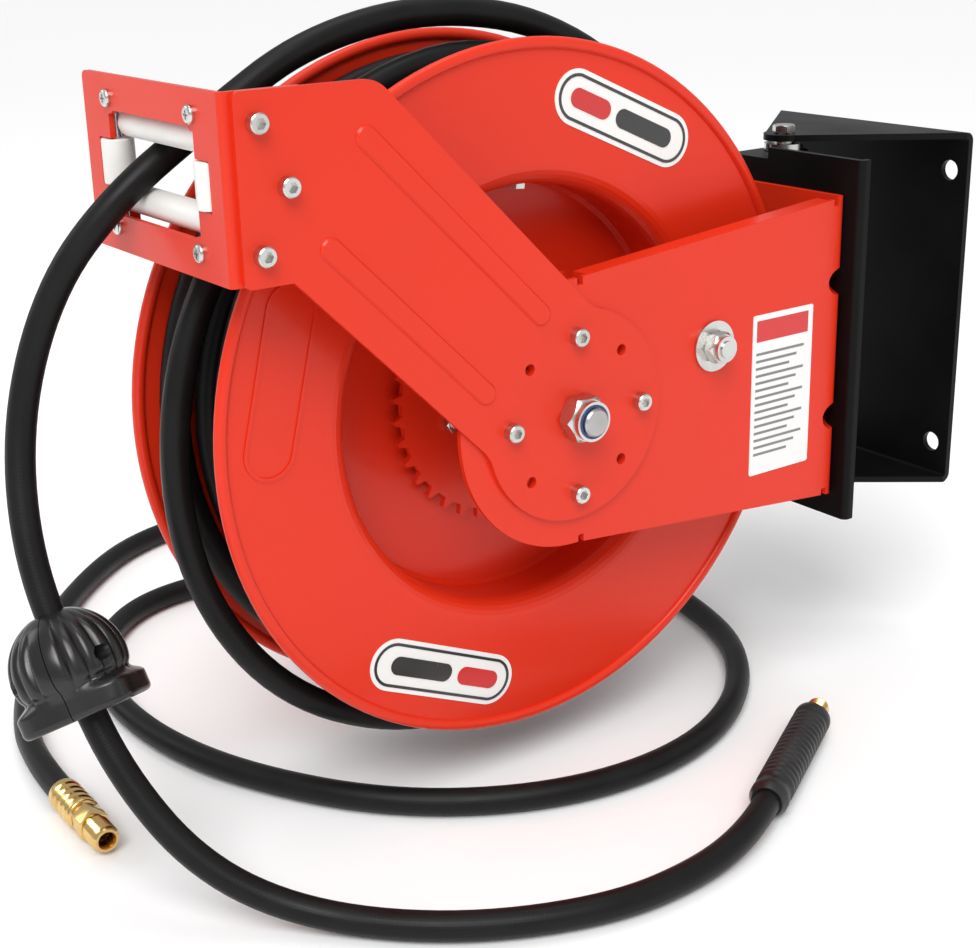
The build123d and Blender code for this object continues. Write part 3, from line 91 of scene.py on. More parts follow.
# ---- shared node groups -----------------------------------------------------------------------
class Groups:
    """The shader node groups that several finishes share, each built once."""

    SHARPEST = 0.64         # pointiness of an edge that shows all its wear
    WEAVE_SHARE = 0.2       # the cloth's waves against the noise between them

    @staticmethod
    def start(name: str, inputs: dict[str, float], output: str) -> Tree:
        """Make an empty group with value sockets.

        Args:
            name: The group's name.
            inputs: Each input's name and default value.
            output: The output's name.

        Returns:
            The new group.
        """
        tree = bpy.data.node_groups.new(name, "ShaderNodeTree")
        for label, value in inputs.items():
            socket = tree.interface.new_socket(label, in_out="INPUT", socket_type="NodeSocketFloat")
            socket.default_value = value
        tree.interface.new_socket(output, in_out="OUTPUT", socket_type="NodeSocketFloat")
        tree.nodes.new("NodeGroupInput")
        tree.nodes.new("NodeGroupOutput")
        return tree

    @staticmethod
    def noise(tree: Tree, detail: float) -> Node:
        """Add a noise texture on Object coordinates, scaled by the group's Scale input.

        Args:
            tree: The group.
            detail: The noise's detail.

        Returns:
            The noise node.
        """
        place = tree.nodes.new("ShaderNodeTexCoord")
        noise = tree.nodes.new("ShaderNodeTexNoise")
        noise.inputs["Detail"].default_value = detail
        tree.links.new(place.outputs["Object"], noise.inputs["Vector"])
        tree.links.new(tree.nodes["Group Input"].outputs["Scale"], noise.inputs["Scale"])
        return noise

    @classmethod
    def grain(cls) -> Tree:
        """Fine relief, such as the skin of powder coat or rubber, with the output Height."""
        if "surface_grain" in bpy.data.node_groups:
            return bpy.data.node_groups["surface_grain"]
        tree = cls.start("surface_grain", {"Scale": 900.0}, "Height")
        noise = cls.noise(tree, 3.0)
        tree.links.new(noise.outputs["Fac"], tree.nodes["Group Output"].inputs["Height"])
        return tree

    @classmethod
    def handling(cls) -> Tree:
        """Soft patches where a surface was wiped, touched or dusted, with the output Mask."""
        if "handling_marks" in bpy.data.node_groups:
            return bpy.data.node_groups["handling_marks"]
        tree = cls.start("handling_marks", {"Scale": 14.0, "From": 0.42, "To": 0.68}, "Mask")
        entry = tree.nodes["Group Input"]
        noise = cls.noise(tree, 6.0)
        spread = tree.nodes.new("ShaderNodeMapRange")
        tree.links.new(noise.outputs["Fac"], spread.inputs["Value"])
        tree.links.new(entry.outputs["From"], spread.inputs["From Min"])
        tree.links.new(entry.outputs["To"], spread.inputs["From Max"])
        tree.links.new(spread.outputs["Result"], tree.nodes["Group Output"].inputs["Mask"])
        return tree

    @classmethod
    def worn_edges(cls) -> Tree:
        """High along sharp outer edges and broken up by noise, with the output Mask."""
        if "worn_edges" in bpy.data.node_groups:
            return bpy.data.node_groups["worn_edges"]
        tree = cls.start("worn_edges", {"Scale": 60.0, "Reach": 0.53}, "Mask")
        shape = tree.nodes.new("ShaderNodeNewGeometry")
        noise = cls.noise(tree, 4.0)
        edge = tree.nodes.new("ShaderNodeMapRange")
        edge.inputs["From Max"].default_value = cls.SHARPEST
        tree.links.new(shape.outputs["Pointiness"], edge.inputs["Value"])
        tree.links.new(tree.nodes["Group Input"].outputs["Reach"], edge.inputs["From Min"])
        broken = tree.nodes.new("ShaderNodeMath")
        broken.operation = "MULTIPLY"
        tree.links.new(edge.outputs["Result"], broken.inputs[0])
        tree.links.new(noise.outputs["Fac"], broken.inputs[1])
        tree.links.new(broken.outputs["Value"], tree.nodes["Group Output"].inputs["Mask"])
        return tree

    @classmethod
    def cloth_print(cls) -> Tree:
        """Faint wrap of the cloth that rubber hose is cured in, along the curve's own map.

        Returns:
            A group with the inputs Along, Around and Scale, and the output Height.
        """
        if "cloth_print" in bpy.data.node_groups:
            return bpy.data.node_groups["cloth_print"]
        tree = cls.start("cloth_print", {"Along": 1.0, "Around": 1.0, "Scale": 700.0}, "Height")
        entry = tree.nodes["Group Input"]
        place = tree.nodes.new("ShaderNodeTexCoord")
        parts = tree.nodes.new("ShaderNodeSeparateXYZ")
        tree.links.new(place.outputs["UV"], parts.inputs["Vector"])
        total = None
        for axis, label in (("X", "Along"), ("Y", "Around")):
            turn = tree.nodes.new("ShaderNodeMath")
            turn.operation = "MULTIPLY"
            tree.links.new(parts.outputs[axis], turn.inputs[0])
            tree.links.new(entry.outputs[label], turn.inputs[1])
            wave = tree.nodes.new("ShaderNodeMath")
            wave.operation = "SINE"
            tree.links.new(turn.outputs["Value"], wave.inputs[0])
            if total is None:
                total = wave.outputs["Value"]
            else:
                both = tree.nodes.new("ShaderNodeMath")
                both.operation = "ADD"
                tree.links.new(total, both.inputs[0])
                tree.links.new(wave.outputs["Value"], both.inputs[1])
                total = both.outputs["Value"]
        noise = cls.noise(tree, 3.0)
        blend = tree.nodes.new("ShaderNodeMath")
        blend.operation = "MULTIPLY_ADD"
        blend.inputs[1].default_value = cls.WEAVE_SHARE
        tree.links.new(total, blend.inputs[0])
        tree.links.new(noise.outputs["Fac"], blend.inputs[2])
        tree.links.new(blend.outputs["Value"], tree.nodes["Group Output"].inputs["Height"])
        return tree


# ---- finishes ---------------------------------------------------------------------------------
@dataclass(frozen=True)
class Finish:
    """One surface finish and how it varies over a piece."""

    slot: str                                   # the record's material slot
    color: Point
    marked: Point                               # colour where it is dusty, rubbed or worn
    rough: tuple[float, float] = (0.35, 0.45)   # roughness, clean and marked
    metal: float = 0.0
    coat: float = 0.0
    shine: float = 0.5                          # how strongly it mirrors, as Specular IOR Level
    grain_scale: float = 900.0
    grain_depth: float = 0.00003
    mark_scale: float = 14.0
    mark_amount: float = 0.5
    edge: float = 0.0                           # how far worn edges show the marked colour
    cloth: tuple[float, float] = (0.0, 0.0)     # waves of cloth print along and around a hose

    def material(self, name: str) -> bpy.types.Material:
        """Build the finish's material, or return it if it is there.

        Args:
            name: The material's name.

        Returns:
            The material.
        """
        if name in bpy.data.materials:
            return bpy.data.materials[name]
        made = bpy.data.materials.new(name)
        made.use_nodes = True
        tree = made.node_tree
        skin = tree.nodes["Principled BSDF"]
        skin.inputs["Metallic"].default_value = self.metal
        skin.inputs["Coat Weight"].default_value = self.coat
        skin.inputs["Specular IOR Level"].default_value = self.shine
        skin.inputs["Coat Roughness"].default_value = COAT_ROUGHNESS
        marks = self.group(tree, Groups.handling(), Scale=self.mark_scale).outputs["Mask"]
        tree.links.new(self.tint(tree, marks), skin.inputs["Base Color"])
        gloss = tree.nodes.new("ShaderNodeMapRange")
        gloss.inputs["To Min"].default_value = self.rough[0]
        gloss.inputs["To Max"].default_value = self.rough[1]
        tree.links.new(marks, gloss.inputs["Value"])
        tree.links.new(gloss.outputs["Result"], skin.inputs["Roughness"])
        tree.links.new(self.relief(tree), skin.inputs["Normal"])
        return made

    @staticmethod
    def group(tree: Tree, shared: Tree, **values: float) -> Node:
        """Place a shared group in a material.

        Args:
            tree: The material's nodes.
            shared: The group.
            values: Its input values in this material.

        Returns:
            The group node.
        """
        node = tree.nodes.new("ShaderNodeGroup")
        node.node_tree = shared
        for label, value in values.items():
            node.inputs[label].default_value = value
        return node

    def tint(self, tree: Tree, marks: Socket) -> Socket:
        """Mix the two colours by the marks and the worn edges.

        Args:
            tree: The material's nodes.
            marks: The mask of the marks.

        Returns:
            The colour socket.
        """
        weight = tree.nodes.new("ShaderNodeMath")
        weight.operation = "MULTIPLY"
        weight.inputs[1].default_value = self.mark_amount
        tree.links.new(marks, weight.inputs[0])
        factor = weight.outputs["Value"]
        if self.edge:
            worn = self.group(tree, Groups.worn_edges())
            both = tree.nodes.new("ShaderNodeMath")
            both.operation = "MULTIPLY_ADD"
            both.use_clamp = True
            both.inputs[1].default_value = self.edge
            tree.links.new(worn.outputs["Mask"], both.inputs[0])
            tree.links.new(factor, both.inputs[2])
            factor = both.outputs["Value"]
        mix = tree.nodes.new("ShaderNodeMix")
        mix.data_type = "RGBA"
        color_of(mix.inputs, "A").default_value = (*self.color, 1)
        color_of(mix.inputs, "B").default_value = (*self.marked, 1)
        tree.links.new(factor, mix.inputs["Factor"])
        return color_of(mix.outputs, "Result")

    def relief(self, tree: Tree) -> Socket:
        """Bump the surface by its grain, or by cloth print on a hose.

        Args:
            tree: The material's nodes.

        Returns:
            The normal socket.
        """
        if any(self.cloth):
            height = self.group(tree, Groups.cloth_print(), Along=self.cloth[0], Around=self.cloth[1])
        else:
            height = self.group(tree, Groups.grain(), Scale=self.grain_scale)
        bump = tree.nodes.new("ShaderNodeBump")
        bump.inputs["Strength"].default_value = BUMP_STRENGTH
        bump.inputs["Distance"].default_value = self.grain_depth
        tree.links.new(height.outputs["Height"], bump.inputs["Height"])
        return bump.outputs["Normal"]


class Look(Enum):
    """The finishes of the reel."""

    RED = Finish("red_paint", (0.72, 0.028, 0.007), (0.66, 0.034, 0.011), (0.30, 0.38), coat=0.08,
                 shine=0.3, grain_scale=420.0, grain_depth=0.00005, mark_amount=0.35, edge=0.2)
    BLACK = Finish("black_paint", (0.003, 0.003, 0.003), (0.007, 0.007, 0.007), (0.38, 0.48), shine=0.12,
                   grain_scale=700.0, grain_depth=0.00006, edge=0.2)
    ZINC = Finish("zinc", (0.66, 0.66, 0.64), (0.50, 0.49, 0.45), (0.2, 0.36), metal=1.0,
                  grain_scale=1400.0, mark_scale=60.0, edge=0.2)
    STEEL = Finish("steel", (0.52, 0.52, 0.52), (0.38, 0.37, 0.35), (0.25, 0.42), metal=1.0,
                   mark_scale=40.0)
    BRASS = Finish("brass", (0.80, 0.56, 0.22), (0.62, 0.40, 0.14), (0.16, 0.34), metal=1.0,
                   grain_scale=1600.0, mark_scale=70.0, edge=0.2)
    ROLLER = Finish("roller", (0.82, 0.81, 0.78), (0.70, 0.69, 0.65), (0.34, 0.5), mark_scale=40.0,
                    mark_amount=0.3, grain_scale=600.0)
    BUSH = Finish("bush", (0.62, 0.58, 0.48), (0.5, 0.46, 0.36), (0.4, 0.55), mark_scale=50.0)
    SPRING = Finish("spring", (0.16, 0.18, 0.22), (0.10, 0.09, 0.08), (0.25, 0.4), metal=1.0)
    HOSE = Finish("hose", (0.007, 0.007, 0.007), (0.012, 0.012, 0.012), (0.38, 0.5), mark_scale=26.0,
                  shine=0.18, grain_depth=0.00012, cloth=(6000.0, 250.0))
    RUBBER = Finish("hose", (0.012, 0.012, 0.013), (0.028, 0.028, 0.028), (0.38, 0.52),
                    mark_scale=50.0, grain_scale=1200.0, grain_depth=0.00008)
    STOPPER = Finish("stopper", (0.010, 0.010, 0.010), (0.018, 0.018, 0.018), (0.22, 0.34),
                     mark_scale=45.0, grain_scale=1100.0, grain_depth=0.00004)
    BADGE = Finish("badge", (0.86, 0.86, 0.84), (0.78, 0.77, 0.74), (0.2, 0.3), coat=0.4,
                   mark_amount=0.3)
    BADGE_INK = Finish("badge", (0.02, 0.02, 0.02), (0.04, 0.04, 0.04), (0.2, 0.3), coat=0.4)
    BADGE_RED = Finish("badge", (0.62, 0.012, 0.012), (0.5, 0.02, 0.018), (0.2, 0.3), coat=0.4)
    LABEL = Finish("label", (0.84, 0.83, 0.82), (0.74, 0.73, 0.70), (0.25, 0.36), coat=0.3,
                   mark_amount=0.3)
    LABEL_INK = Finish("label", (0.20, 0.20, 0.20), (0.26, 0.26, 0.26), (0.3, 0.4))
    NYLON = Finish("bush", (0.012, 0.05, 0.16), (0.02, 0.07, 0.20), (0.3, 0.45), mark_scale=60.0)

    @property
    def material(self) -> bpy.types.Material:
        """The look's material, built on first use."""
        return self.value.material("finish_" + self.name.lower())


SLOT_LOOKS = {look.value.slot: look for look in reversed(Look)}
NODE_LOOKS = {"hose_grip": Look.RUBBER, "swivel_seals": Look.RUBBER, "hose_coil": Look.RUBBER}


def dress_nodes() -> None:
    """Give every CAD node the finish of its slot in the record."""
    slots = {part["node"]: part["material_slot"] for part in frame["record"]["subparts"]}
    for name, node in frame["nodes"].items():
        look = NODE_LOOKS.get(name, SLOT_LOOKS[slots[name]])
        for holder in node.material_slots:
            holder.material = look.material
        LOG.info("node %s: %s", name, look.name.lower())


# ---- mesh helpers -----------------------------------------------------------------------------
HEX_BEVEL = 0.5             # on a hexagon's outer edges, in millimetres
CLEAR_OF_BORE = 1.2         # edges farther out than this share of the bore get the bevel


def add_piece(name: str, mesh: bmesh.types.BMesh, look: Look, body: str, stands_for: Sequence[str] = (),
              sharp: float = 32.0) -> bpy.types.Object:
    """Make an object of a finished bmesh, dress it and let it ride on a body.

    Args:
        name: The piece's name.
        mesh: The bmesh, in its place; it is freed.
        look: The piece's finish.
        body: The CAD body that it rides on.
        stands_for: CAD nodes that it replaces.
        sharp: Edges that turn by more degrees than this stay sharp.

    Returns:
        The new object.
    """
    bmesh.ops.recalc_face_normals(mesh, faces=mesh.faces)
    for face in mesh.faces:
        face.smooth = True
    for edge in mesh.edges:
        edge.smooth = len(edge.link_faces) == 2 and edge.calc_face_angle(0.0) < math.radians(sharp)
    data = bpy.data.meshes.new(name)
    mesh.to_mesh(data)
    mesh.free()
    piece = bpy.data.objects.new(name, data)
    bpy.context.scene.collection.objects.link(piece)
    piece.data.materials.append(look.material)
    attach(piece, body)
    if stands_for:
        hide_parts(*stands_for)
    LOG.info("piece %s: %d faces on %s", name, len(data.polygons), body)
    return piece


def frame_along(origin: Vector, way: Vector) -> Matrix:
    """Matrix that puts +Z along a direction, at an origin."""
    return Matrix.Translation(origin) @ way.to_track_quat("Z", "Y").to_matrix().to_4x4()


def spin_profile(mesh: bmesh.types.BMesh, outline: Sequence[tuple[float, float]], steps: int) -> None:
    """Turn a closed outline of (radius, height) about +Z, in millimetres.

    Args:
        mesh: The bmesh that gets it.
        outline: The outline's corners.
        steps: Faces round the turn.
    """
    ring = [mesh.verts.new((r * MM, 0, h * MM)) for r, h in outline]
    edges = [mesh.edges.new(pair) for pair in zip(ring, ring[1:] + ring[:1])]
    bmesh.ops.spin(mesh, geom=ring + edges, cent=(0, 0, 0), axis=(0, 0, 1), dvec=(0, 0, 0),
                   angle=math.tau, steps=steps, use_merge=True, use_duplicate=False)


def add_hexagon(mesh: bmesh.types.BMesh, across: float, low: float, high: float, bore: float) -> None:
    """Add a bored hexagon with blunt corners about +Z, in millimetres.

    Args:
        mesh: The bmesh that gets it.
        across: Size across the flats.
        low: Height of its lower face.
        high: Height of its upper face.
        bore: Radius of its bore.
    """
    inner = bmesh.ops.create_circle(mesh, segments=6, radius=bore * MM)["verts"]
    outer = bmesh.ops.create_circle(mesh, segments=6, radius=across / math.sqrt(3) * MM)["verts"]
    rims = [{edge for vert in ring for edge in vert.link_edges} for ring in (inner, outer)]
    faces = bmesh.ops.bridge_loops(mesh, edges=list(rims[0] | rims[1]))["faces"]
    bmesh.ops.translate(mesh, verts=inner + outer, vec=(0, 0, low * MM))
    lifted = bmesh.ops.extrude_face_region(mesh, geom=faces, use_keep_orig=True)["geom"]
    raised = [item for item in lifted if isinstance(item, bmesh.types.BMVert)]
    bmesh.ops.translate(mesh, verts=raised, vec=(0, 0, (high - low) * MM))
    corners = [edge for edge in mesh.edges
               if {vert for vert in edge.verts} <= set(outer) | set(raised)
               and all(vert.co.xy.length > bore * MM * CLEAR_OF_BORE for vert in edge.verts)]
    bmesh.ops.bevel(mesh, geom=corners, offset=HEX_BEVEL * MM, segments=2, profile=0.5,
                    affect="EDGES", material=-1)


# ---- hoses ------------------------------------------------------------------------------------
@dataclass
class Hose:
    """A hose as one smooth curve through given or looped points."""

    name: str
    points: list[Vector]
    length: float
    far_end: str
    lay: str
    body: str
    stands_for: str
    companions: Sequence[object] = ()
    radius: float = 0.008
    finer: int = 8

    def build(self) -> bpy.types.Object:
        """Returns:
            The curve object.
        """
        data = bpy.data.curves.new(self.name, "CURVE")
        data.dimensions = "3D"
        data.resolution_u = self.finer
        data.bevel_depth = self.radius
        data.bevel_resolution = 4
        data.use_fill_caps = True
        line = data.splines.new("NURBS")
        line.points.add(len(self.points) - 1)
        for slot, point in zip(line.points, self.points):
            slot.co = (*point, 1)
        line.order_u = 3
        line.use_endpoint_u = True
        line.use_smooth = True
        hose = bpy.data.objects.new(self.name, data)
        bpy.context.scene.collection.objects.link(hose)
        data.materials.append(Look.HOSE.material)
        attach(hose, self.body)
        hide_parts(self.stands_for)
        LOG.info("hose %s: %.2f m on %s", self.name, self.length, self.body)
        return hose


@dataclass(frozen=True)
class Layer:
    """One layer of turns on the drum, in millimetres and turns."""

    radius: float
    start_y: float
    end_y: float
    turns: float


@dataclass
class Hoses:
    """The wound hose, its free end and the feed hose."""

    points_per_turn: int = 16
    climb: float = 0.25                 # part of a turn that rises to the next layer
    first_angle: float = 90.0           # the outlet stands at the drum's top
    layers: Sequence[Layer] = (
        Layer(132.4, -35.0, 35.0, 3.75), Layer(148.8, 36.0, -36.0, 4.25),
        Layer(165.1, -36.5, 36.5, 3.25), Layer(181.4, 36.5, 30.0, 0.60),
    )
    last_turn: float = 0.4297           # crosses to the loose turn on the frame's side
    last_swell: float = 6.9             # how far it rises as it crosses
    loose_y: float = 2.0                # where the loose turn lies across the drum
    floor: float = -224.5               # hose's middle on the floor, from the axle
    gate: Point = (-158.0, 13.0, 167.1)
    past_gate: Point = (-213.5, 13.0, 132.4)
    coil_length: float = 12.4
    free_length: float = 2.19
    feed_length: float = 2.27

    def free_points(self) -> list[Vector]:
        """Points of the free end: a loose turn, the rollers, the stopper and the floor.

        Returns:
            The points in the part's frame.
        """
        route = [
            (-74.0, 2.0, 172.3), (-112.0, 2.0, 156.0), (-172.0, 2.0, 92.0), (-201.0, 2.0, 12.0),
            (-195.0, 2.0, -80.0), (-146.0, 2.0, -160.0), (-66.0, 2.0, -206.0), (22.0, 2.0, -211.0),
            (104.0, 2.0, -178.0), (163.0, 2.0, -112.0), (191.0, 2.0, -30.0), (184.0, 3.0, 66.0),
            (139.0, 6.0, 148.0), (66.0, 10.0, 200.0), (-20.0, 12.0, 215.0), (-100.0, 13.0, 201.0),
            self.gate, self.past_gate,
            (-246.0, 30.0, 88.0), (-268.0, 37.0, 22.0), (-279.0, 16.0, -42.0), (-273.5, -13.0, -98.0),
            (-265.0, -45.0, -150.0), (-241.0, -80.0, -197.0),
        ]
        ground = [
            (-199.0, -115.0, 0.0), (-145.0, -172.0, 0.0), (-72.0, -206.0, 0.0), (-9.0, -208.0, 0.0),
            (36.0, -198.0, 3.5), (62.0, -183.0, 3.5),
        ]
        return [at_axle(p) for p in route] + [at_axle((x, y, self.floor + rise)) for x, y, rise in ground]

    def feed_points(self) -> list[Vector]:
        """Points of the feed hose: down from the inlet and round the reel on the floor.

        Returns:
            The points in the part's frame.
        """
        inlet = 112.0
        route = [(0.0, inlet, -54.0), (0.0, inlet, -112.0), (14.0, 122.0, -176.0), (42.0, 160.0, -218.0)]
        ground = [
            (64.0, 220.0, 0.0), (46.0, 284.0, 0.0), (-20.0, 318.0, 0.0), (-92.0, 316.0, 0.0),
            (-148.0, 268.0, 0.0), (-176.0, 196.0, 0.0), (-178.0, 116.0, 0.0), (-156.0, 34.0, 0.0),
            (-104.0, -48.0, 0.0), (-28.0, -98.0, 0.0), (56.0, -110.0, 0.0), (136.0, -83.0, 0.0),
            (200.0, -18.0, 0.0), (226.0, 66.0, 0.0), (236.0, 172.0, 0.0), (216.0, 286.0, 0.0),
            (158.0, 390.0, 0.0), (66.0, 446.0, 0.0), (-40.0, 440.0, 0.0), (-128.0, 366.0, 0.0),
            (-196.0, 270.0, 0.0), (-236.0, 186.0, 0.0), (-250.5, 124.0, 1.5), (-251.5, 80.0, 1.5),
        ]
        return [at_axle(p) for p in route] + [at_axle((x, y, self.floor + rise)) for x, y, rise in ground]

    def coil_points(self) -> list[Vector]:
        """Points of the wound hose, layer on layer, ending where the loose turn begins.

        Returns:
            The points in the part's frame.
        """
        step = 1 / self.points_per_turn
        swell = 1 / math.cos(math.pi / self.points_per_turn)
        made: list[Vector] = []
        turned = 0.0

        def add(radius: float, y: float, turn: float) -> None:
            """Add a point at a radius, a place across the drum and a turn."""
            angle = math.radians(self.first_angle) + math.tau * turn
            out = radius * swell
            made.append(at_axle((out * math.cos(angle), y, out * math.sin(angle))))

        for layer, after in zip(self.layers, [*self.layers[1:], None]):
            count = round(layer.turns / step)
            for i in range(count):
                part = i / count
                add(layer.radius, layer.start_y + (layer.end_y - layer.start_y) * part,
                    turned + layer.turns * part)
            turned += layer.turns
            if after is None:
                continue
            count = round(self.climb / step)
            for i in range(count):
                part = i / count
                add(layer.radius + (after.radius - layer.radius) * part,
                    layer.end_y + (after.start_y - layer.end_y) * part, turned + self.climb * part)
            turned += self.climb
        end = self.free_points()[0]
        last = self.layers[-1]
        count = round(self.last_turn / step)
        for i in range(count + 1):
            part = i / count
            ease = part * part
            add(last.radius + self.last_swell * ease, last.end_y + (self.loose_y - last.end_y) * ease,
                turned + self.last_turn * part)
        made.append(end)
        return made

    def build(self, on_free: Sequence[object], on_feed: Sequence[object]) -> None:
        """Make the three hoses.

        Args:
            on_free: The pieces and nodes on the free end. Not used.
            on_feed: The pieces and nodes on the feed hose. Not used.
        """
        Hose("wound_hose", self.coil_points(), self.coil_length, "object", "coiled", "drum", "hose_coil",
             finer=5).build()
        Hose("free_hose", self.free_points(), self.free_length, "fitting", "loose", "frame", "hose_free",
             on_free).build()
        Hose("supply_hose", self.feed_points(), self.feed_length, "fitting", "loose", "frame",
             "feed_hose", on_feed).build()


# ---- end fittings -----------------------------------------------------------------------------
@dataclass
class EndFittings:
    """Ribbed grip with its brass nipple, and the brass fitting of the feed hose."""

    hoses: Hoses
    grip_length: float = 112.0
    grip_neck: float = 10.4
    grip_rib: float = 11.5
    ribs: int = 15
    plain_end: float = 16.0                     # smooth stretch of the grip at the hose
    plain_tip: float = 12.0                     # and at its tip
    ferrule_rib: float = 10.0
    ferrule_neck: float = 9.1
    ferrule_pitch: float = 6.4
    crimps: int = 4
    hex_size: tuple[float, float, float] = (17.0, 32.0, 46.0)   # across the flats, from, to
    feed_bore: float = 4.6
    steps: int = 40

    @staticmethod
    def thread(radius: float, depth: float, low: float, high: float,
               pitch: float) -> list[tuple[float, float]]:
        """Outline of a threaded stretch, as crests and roots.

        Args:
            radius: Radius over the crests.
            depth: Depth of the thread.
            low: Where it starts.
            high: Where it ends.
            pitch: From crest to crest.

        Returns:
            The outline's corners from low to high.
        """
        turns = int((high - low) / pitch)
        outline = []
        for k in range(turns):
            base = low + k * pitch
            outline += [(radius - depth, base), (radius, base + 0.5 * pitch)]
        return outline + [(radius - depth, low + turns * pitch)]

    def grip(self) -> bpy.types.Object:
        """Ribbed rubber sleeve that keeps the hose's end from kinking."""
        end, before = self.hoses.free_points()[-1], self.hoses.free_points()[-2]
        mesh = bmesh.new()
        start, stop = self.plain_end, self.grip_length - self.plain_tip
        pitch = (stop - start) / self.ribs
        outline = [(8.1, 0.0), (9.3, 0.0), (self.grip_rib, 4.0), (self.grip_rib, 9.0),
                   (self.grip_neck, 11.0)]
        for k in range(self.ribs):
            base = start + k * pitch
            outline += [(self.grip_neck, base), (self.grip_rib, base + 0.22 * pitch),
                        (self.grip_rib, base + 0.62 * pitch), (self.grip_neck, base + 0.84 * pitch)]
        outline += [(self.grip_neck, stop + 2), (self.grip_rib, stop + 3.5),
                    (self.grip_rib, self.grip_length - 3), (9.2, self.grip_length), (6.0, self.grip_length)]
        spin_profile(mesh, outline + [(6.0, 2.0)], self.steps)
        bmesh.ops.transform(mesh, matrix=frame_along(end, end - before), verts=mesh.verts)
        return add_piece("ribbed_grip", mesh, Look.RUBBER, "frame", ["hose_grip"], sharp=50)

    def nipple(self) -> bpy.types.Object:
        """Brass nipple with a collar and a thread beyond the grip."""
        end, before = self.hoses.free_points()[-1], self.hoses.free_points()[-2]
        mesh = bmesh.new()
        outline = [(6.9, 0.0), (6.9, 3.0), (6.0, 3.6)] + self.thread(6.8, 0.8, 4.0, 15.0, 1.4)
        spin_profile(mesh, outline + [(5.6, 16.0), (4.2, 16.0), (4.2, 0.0)], self.steps)
        way = (end - before).normalized()
        place = frame_along(end + way * self.grip_length * MM, way)
        bmesh.ops.transform(mesh, matrix=place, verts=mesh.verts)
        return add_piece("brass_nipple", mesh, Look.BRASS, "frame", ["hose_fitting"], sharp=40)

    def feed(self) -> bpy.types.Object:
        """Brass fitting of the feed hose: crimped ferrule, hexagon and thread."""
        end, before = self.hoses.feed_points()[-1], self.hoses.feed_points()[-2]
        mesh = bmesh.new()
        bore, rib, neck = self.feed_bore, self.ferrule_rib, self.ferrule_neck
        ferrule = [(8.2, -1.0), (9.6, -1.0), (rib, 0.5)]
        for k in range(self.crimps):
            base = 4.0 + self.ferrule_pitch * k
            ferrule += [(rib, base), (neck, base + 1.0), (neck, base + 2.6), (rib, base + 3.6)]
        across, low, high = self.hex_size
        ferrule += [(rib, 29.0), (9.2, 30.0), (7.4, 30.4), (7.4, low), (bore, low), (bore, 2.0), (8.2, 2.0)]
        spin_profile(mesh, ferrule, self.steps)
        add_hexagon(mesh, across, low, high, bore)
        spigot = [(bore, 45.8), (7.2, 45.8), (7.2, 47.4)] + self.thread(8.2, 0.9, 47.6, 62.4, 1.6)
        spin_profile(mesh, spigot + [(6.8, 64.0), (5.4, 64.0), (bore, 62.5)], self.steps)
        bmesh.ops.transform(mesh, matrix=frame_along(end, end - before), verts=mesh.verts)
        return add_piece("brass_feed_fitting", mesh, Look.BRASS, "frame", ["feed_fitting"], sharp=40)


